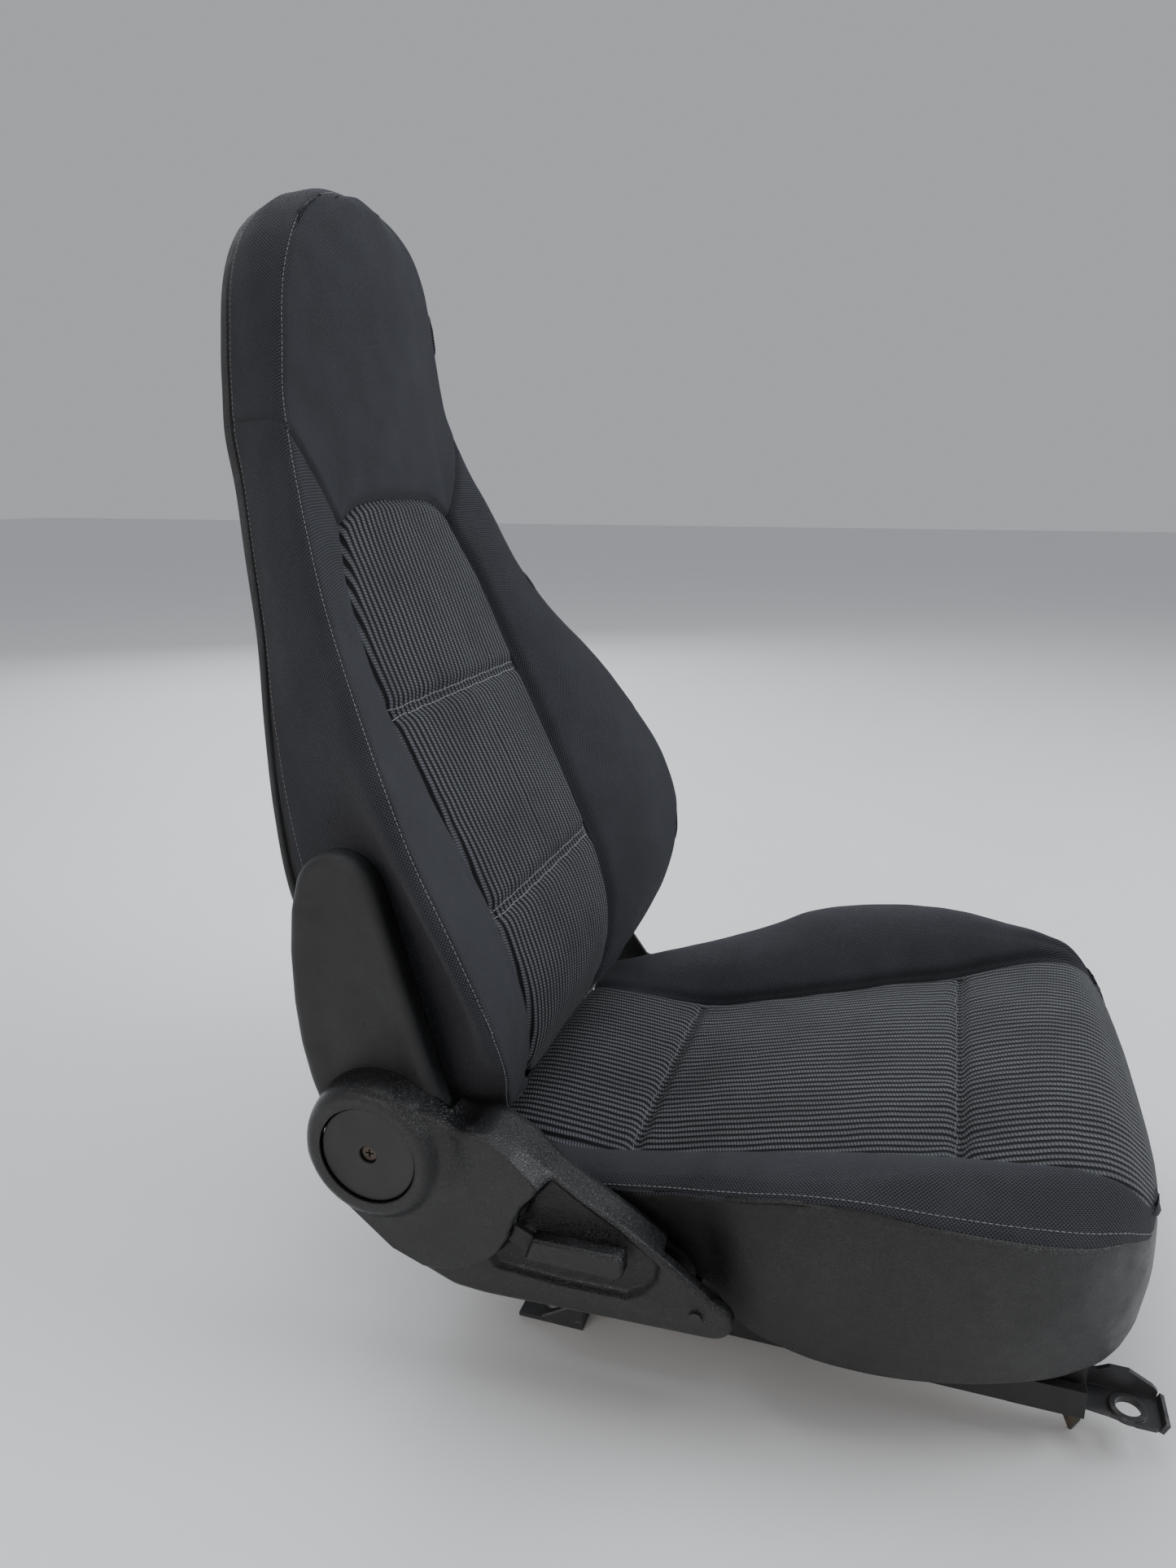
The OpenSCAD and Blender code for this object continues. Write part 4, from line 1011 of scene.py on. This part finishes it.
def moulding(name, centre, outline, count, steps, blur, face, skirt, mat, hole=None, slot=None):
    """A thin shell seen from the right.

    face(y, z) is its outside and skirt(y, z) how far its rim goes in; hole is the radius of a
    round hole at the centre, and slot(p) says which faces are left out for a slot.
    """
    away = outline_rays(centre, outline, count, blur) - centre
    size = np.linalg.norm(away, axis=1, keepdims=True)
    t = np.linspace(0, 1, steps + 1)
    t = 0.5 * t + 0.5 * np.sin(t * math.pi / 2)
    start = (hole or TINY_HOLE) / size
    grid = centre + away[:, None] * (start + (1 - start) * t)[..., None]
    y, z = grid[..., 0], grid[..., 1]
    x = face(y, z)
    if hole:
        lip = np.array([[4.5, 1.2, 0.3]])
        x = np.concatenate([x[:, :1] - lip, x[:, 1:]], 1)
        y, z = (np.concatenate([v[:, [0, 0]], v], 1) for v in (y, z))
    drop = np.array([[0.2, 0.5, 0.8, 1.0]])
    low = skirt(y[:, -1:], z[:, -1:])
    x = np.concatenate([x, x[:, -1:] + (low - x[:, -1:]) * drop], 1)
    y, z = (np.concatenate([v, v[:, -1:] + 0 * drop], 1) for v in (y, z))
    p = np.stack([-x, y, z], -1)
    n = grid_normals(p)
    if np.mean(n[..., 0]) > 0:
        n = -n
    a, b = p.shape[:2]
    idx = np.arange(a * b).reshape(a, b)
    nxt = np.roll(idx, -1, 0)
    top = np.stack([idx[:, :-1], nxt[:, :-1], nxt[:, 1:], idx[:, 1:]], -1).reshape(-1, 4)
    if slot:
        top = top[~slot(p.reshape(-1, 3)[top].mean(1))]
    faces = top.tolist() + (top[:, ::-1] + a * b).tolist()
    edges = {}
    for f in top.tolist():
        for e in zip(f, f[1:] + f[:1]):
            if e[::-1] in edges:
                del edges[e[::-1]]
            else:
                edges[e] = True
    faces += [[e[1], e[0], e[0] + a * b, e[1] + a * b] for e in edges]
    return make_mesh(name, in_metres(p) + in_metres(p - n * WALL), faces, mat)


def roll_off(d, radius):
    """How far a rounded edge has fallen at distance d inside it."""
    t = 1 - np.clip(d / radius, 0, 1)
    return radius * (1 - np.sqrt(np.maximum(1 - t * t, 0)))


def blend_max(a, b, width):
    """The larger of a and b, with the corner between them rounded."""
    h = np.clip(0.5 + 0.5 * (a - b) / width, 0, 1)
    return b + (a - b) * h + width * h * (1 - h)


PIVOT = np.array([PIVOT_Y, PIVOT_Z])
COVER_X, RAISED_X, BOSS_X = 266.0, 280.0, 286.0
BOSS_FLAT, COLLAR_IN, COLLAR_OUT, COLLAR_FALL = 40.0, 40.5, 51.5, 20.0
COVER_EDGE = np.concatenate([
    arc(95, 172, 52, -58, 118, 30),
    [(42, 201), (32, 198.5), (23, 201), (10, 199), (-8, 189), (-28, 171), (-50, 157), (-80, 140),
     (-108, 122), (-134, 103)],
    arc(-137, 86, 13, 60, 265, 10), [(-40, 69), (20, 66), (44, 67), (64, 75), (82, 83)]])
RAISED_EDGE = np.array(
    [(122, 128), (146, 160), (142, 190), (110, 217), (76, 214), (44, 206), (32, 203), (23, 205),
     (10, 201), (-8, 188), (-22, 175), (-27, 168), (-23, 161), (-15, 152), (-10, 141), (-5, 126),
     (2, 114), (11, 104), (26, 95), (44, 89), (60, 88), (84, 97)], float)
POCKET_EDGE = np.array(
    [(-101, 119), (-74, 139), (-44, 156.5), (-27, 168), (-4, 172), (30, 120), (12, 91),
     (-34, 89), (-80, 90), (-92, 98), (-99, 108)], float)


def cover_face(y, z):
    """The recliner cover's outside: a flat, a raised part, the lever's pocket and the boss."""
    rim = inside_by(y, z, cover_ring)
    raised = smoothstep(-2.2, 3.6, inside_by(y, z, RAISED_EDGE))
    pocket = smoothstep(-2.5, 4.0, inside_by(y, z, POCKET_EDGE)) * (1 - raised)
    r = np.hypot(y - PIVOT_Y, z - PIVOT_Z)
    swell = 1.2 * np.exp(-((z - 78) / 9) ** 2) * smoothstep(60, 10, y)
    x = COVER_X + (RAISED_X - COVER_X) * raised - 7.0 * pocket + swell * (1 - raised)
    out = np.clip((r - COLLAR_IN) / (COLLAR_OUT - COLLAR_IN), 0, 1)
    collar = BOSS_X - COLLAR_FALL * (1 - np.sqrt(1 - out**2))
    collar = np.where(r > COLLAR_OUT, COVER_X - 6, collar)
    x = blend_max(collar, x, 4.5)
    x = np.where(r < BOSS_FLAT, BOSS_X - 0.6 * ((BOSS_FLAT - r) / 5) ** 2, x)
    above = smoothstep(150, 178, z) * (y < PIVOT_Y)
    x += ditch(r - 58, 4.5, 11) * raised * above - roll_off(rim, 5.0) * smoothstep(47, 52, r)
    return x + 0.12 * noise_field(np.stack([y, z, 0 * y], -1), 0.05, 3.0)


def cover_skirt(y, z):
    """The rim goes in deep, but stays outside the hinge and the arm."""
    near_hinge = np.hypot(y - PIVOT_Y, z - PIVOT_Z) < 58
    deep = np.where(y > -102, 240.0, 256.5)
    return np.where(near_hinge | ((y > 44) & (z > 150)), 258.0, deep)


def cover_slot(p):
    """The slot at the front of the raised part, for the lever."""
    x, y, z = -p[..., 0], p[..., 1], p[..., 2]
    return (x > 267) & (x < 276.5) & (y > -16) & (y < 8) & (z > 113) & (z < 147)


cover_ring = outline_rays(PIVOT, COVER_EDGE, 240, 2)
cover = moulding("recliner_cover_shell", PIVOT, COVER_EDGE, 420, 150, 5, cover_face, cover_skirt,
                 TRIM, hole=35.3, slot=cover_slot)

ARM_EDGE = np.concatenate([
    arc(95, 172, 50, 160, 372, 30),
    [(152, 205), (158, 232), (161, 262), (161, 300), (158, 330)], arc(123, 341, 31, 8, 168, 20)])
ARM_X, ARM_RIM_X = 261.5, 243.5
ARM_MIDDLE = np.array([105.0, 255.0])
arm_ring = outline_rays(ARM_MIDDLE, ARM_EDGE, 200, 2)


def arm_face(y, z):
    rim = inside_by(y, z, arm_ring)
    return ARM_X - roll_off(rim, 8.5) - 1.4 * smoothstep(8, 26, rim)


arm_shell = moulding("arm_cover_shell", ARM_MIDDLE, ARM_EDGE, 320, 60, 6, arm_face,
                     lambda y, z: np.full(y.shape, ARM_RIM_X), ARM_TRIM)
for piece, node, body in ((cover, "recliner_cover", "seat_base"), (arm_shell, "arm_cover", "backrest")):
    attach(piece, body)
    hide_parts(node)

# ---------------- stitches


STITCH, STITCH_SPACE = 2.9, 3.9
# Rings of one stitch: place along it, share of its radius, and rise off the cloth
STITCH_RINGS = ((-0.5, 0.35, -0.1), (-0.42, 0.85, 0.12), (0, 1.0, 0.3), (0.42, 0.85, 0.12),
                (0.5, 0.35, -0.1))
ROUND = 6


def stitches(name, tree, paths, mat, body, radius):
    """Rows of thread along paths of points; each stitch is a short rounded bar on the surface."""
    verts, faces = [], []
    for pts in paths:
        run = run_along(pts)
        for i in range(int(run[-1] / STITCH_SPACE)):
            middle = (i + 0.5) * STITCH_SPACE
            ends = [middle - STITCH / 2, middle + STITCH / 2]
            a, b = np.stack([np.interp(ends, run, pts[:, k]) for k in range(3)], -1)
            hit = [tree.find_nearest(Vector(q * MM)) for q in (a, (a + b) / 2, b)]
            spots = [np.array(h[0]) / MM for h in hit]
            up = np.array(hit[1][1])
            axis = spots[2] - spots[0]
            size = np.linalg.norm(axis)
            if size < EPS:
                continue
            axis /= size
            across = np.cross(up, axis)
            across /= max(np.linalg.norm(across), TINY)
            start = len(verts)
            for along, fat, rise in STITCH_RINGS:
                centre = spots[1] + axis * along * STITCH + up * rise
                for k in range(ROUND):
                    ang = TAU * k / ROUND
                    q = centre + radius * fat * (across * math.cos(ang) + up * math.sin(ang))
                    verts.append((q * MM).tolist())
            for ring in range(start, len(verts) - ROUND, ROUND):
                for k in range(ROUND):
                    p0, p1 = ring + k, ring + (k + 1) % ROUND
                    faces.append([p0, p1, p1 + ROUND, p0 + ROUND])
            faces.append([start + k for k in range(ROUND)][::-1])
            faces.append([len(verts) - ROUND + k for k in range(ROUND)])
    obj = make_mesh(name, verts, faces, mat)
    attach(obj, body)


def line_at(surface, cols, rows, side):
    """Points of the untouched form at matching outline and row values."""
    c, s, r = np.broadcast_arrays(cols, side, rows)
    return surface.place(c[:, None], s[:, None], r[:, None])[:, 0]


ACROSS = np.linspace(-0.97, 0.97, 80)


def cross_line(surface, c_edge, row):
    """A line across the insert, not quite from edge to edge."""
    return line_at(surface, c_edge * np.abs(ACROSS), row, np.sign(ACROSS))


back_tree, seat_tree = back.tree(), seat.tree()
DOUBLE_SEAM = (-3.1, 3.1)
stitches("backrest_seam_stitches", back_tree,
         [cross_line(back, C_INSERT, seam + d) for seam in (SEAM_LOW, SEAM_MID) for d in DOUBLE_SEAM],
         THREAD, "backrest", 0.42)
stitches("cushion_seam_stitches", seat_tree,
         [cross_line(seat, S_INSERT, seam + 1.5) for seam in (SEAM_REAR, SEAM_FRONT)],
         DIM_THREAD, "seat_base", 0.36)
rows_up = np.linspace(BACK_FIRST + 20, BACK_LAST - 2, 160)
stitches("backrest_edge_stitches", back_tree,
         [line_at(back, c, rows_up, side) for side in (1, -1) for c in (C_RIDGE + 0.09, C_REAR - 0.14)],
         DIM_THREAD, "backrest", 0.33)
rows_fore = np.linspace(SEAT_FIRST - 30, SEAT_LAST + 0.5, 140)
stitches("cushion_edge_stitches", seat_tree,
         [line_at(seat, S_SEAM - 0.2, rows_fore, side) for side in (1, -1)],
         DIM_THREAD, "seat_base", 0.36)
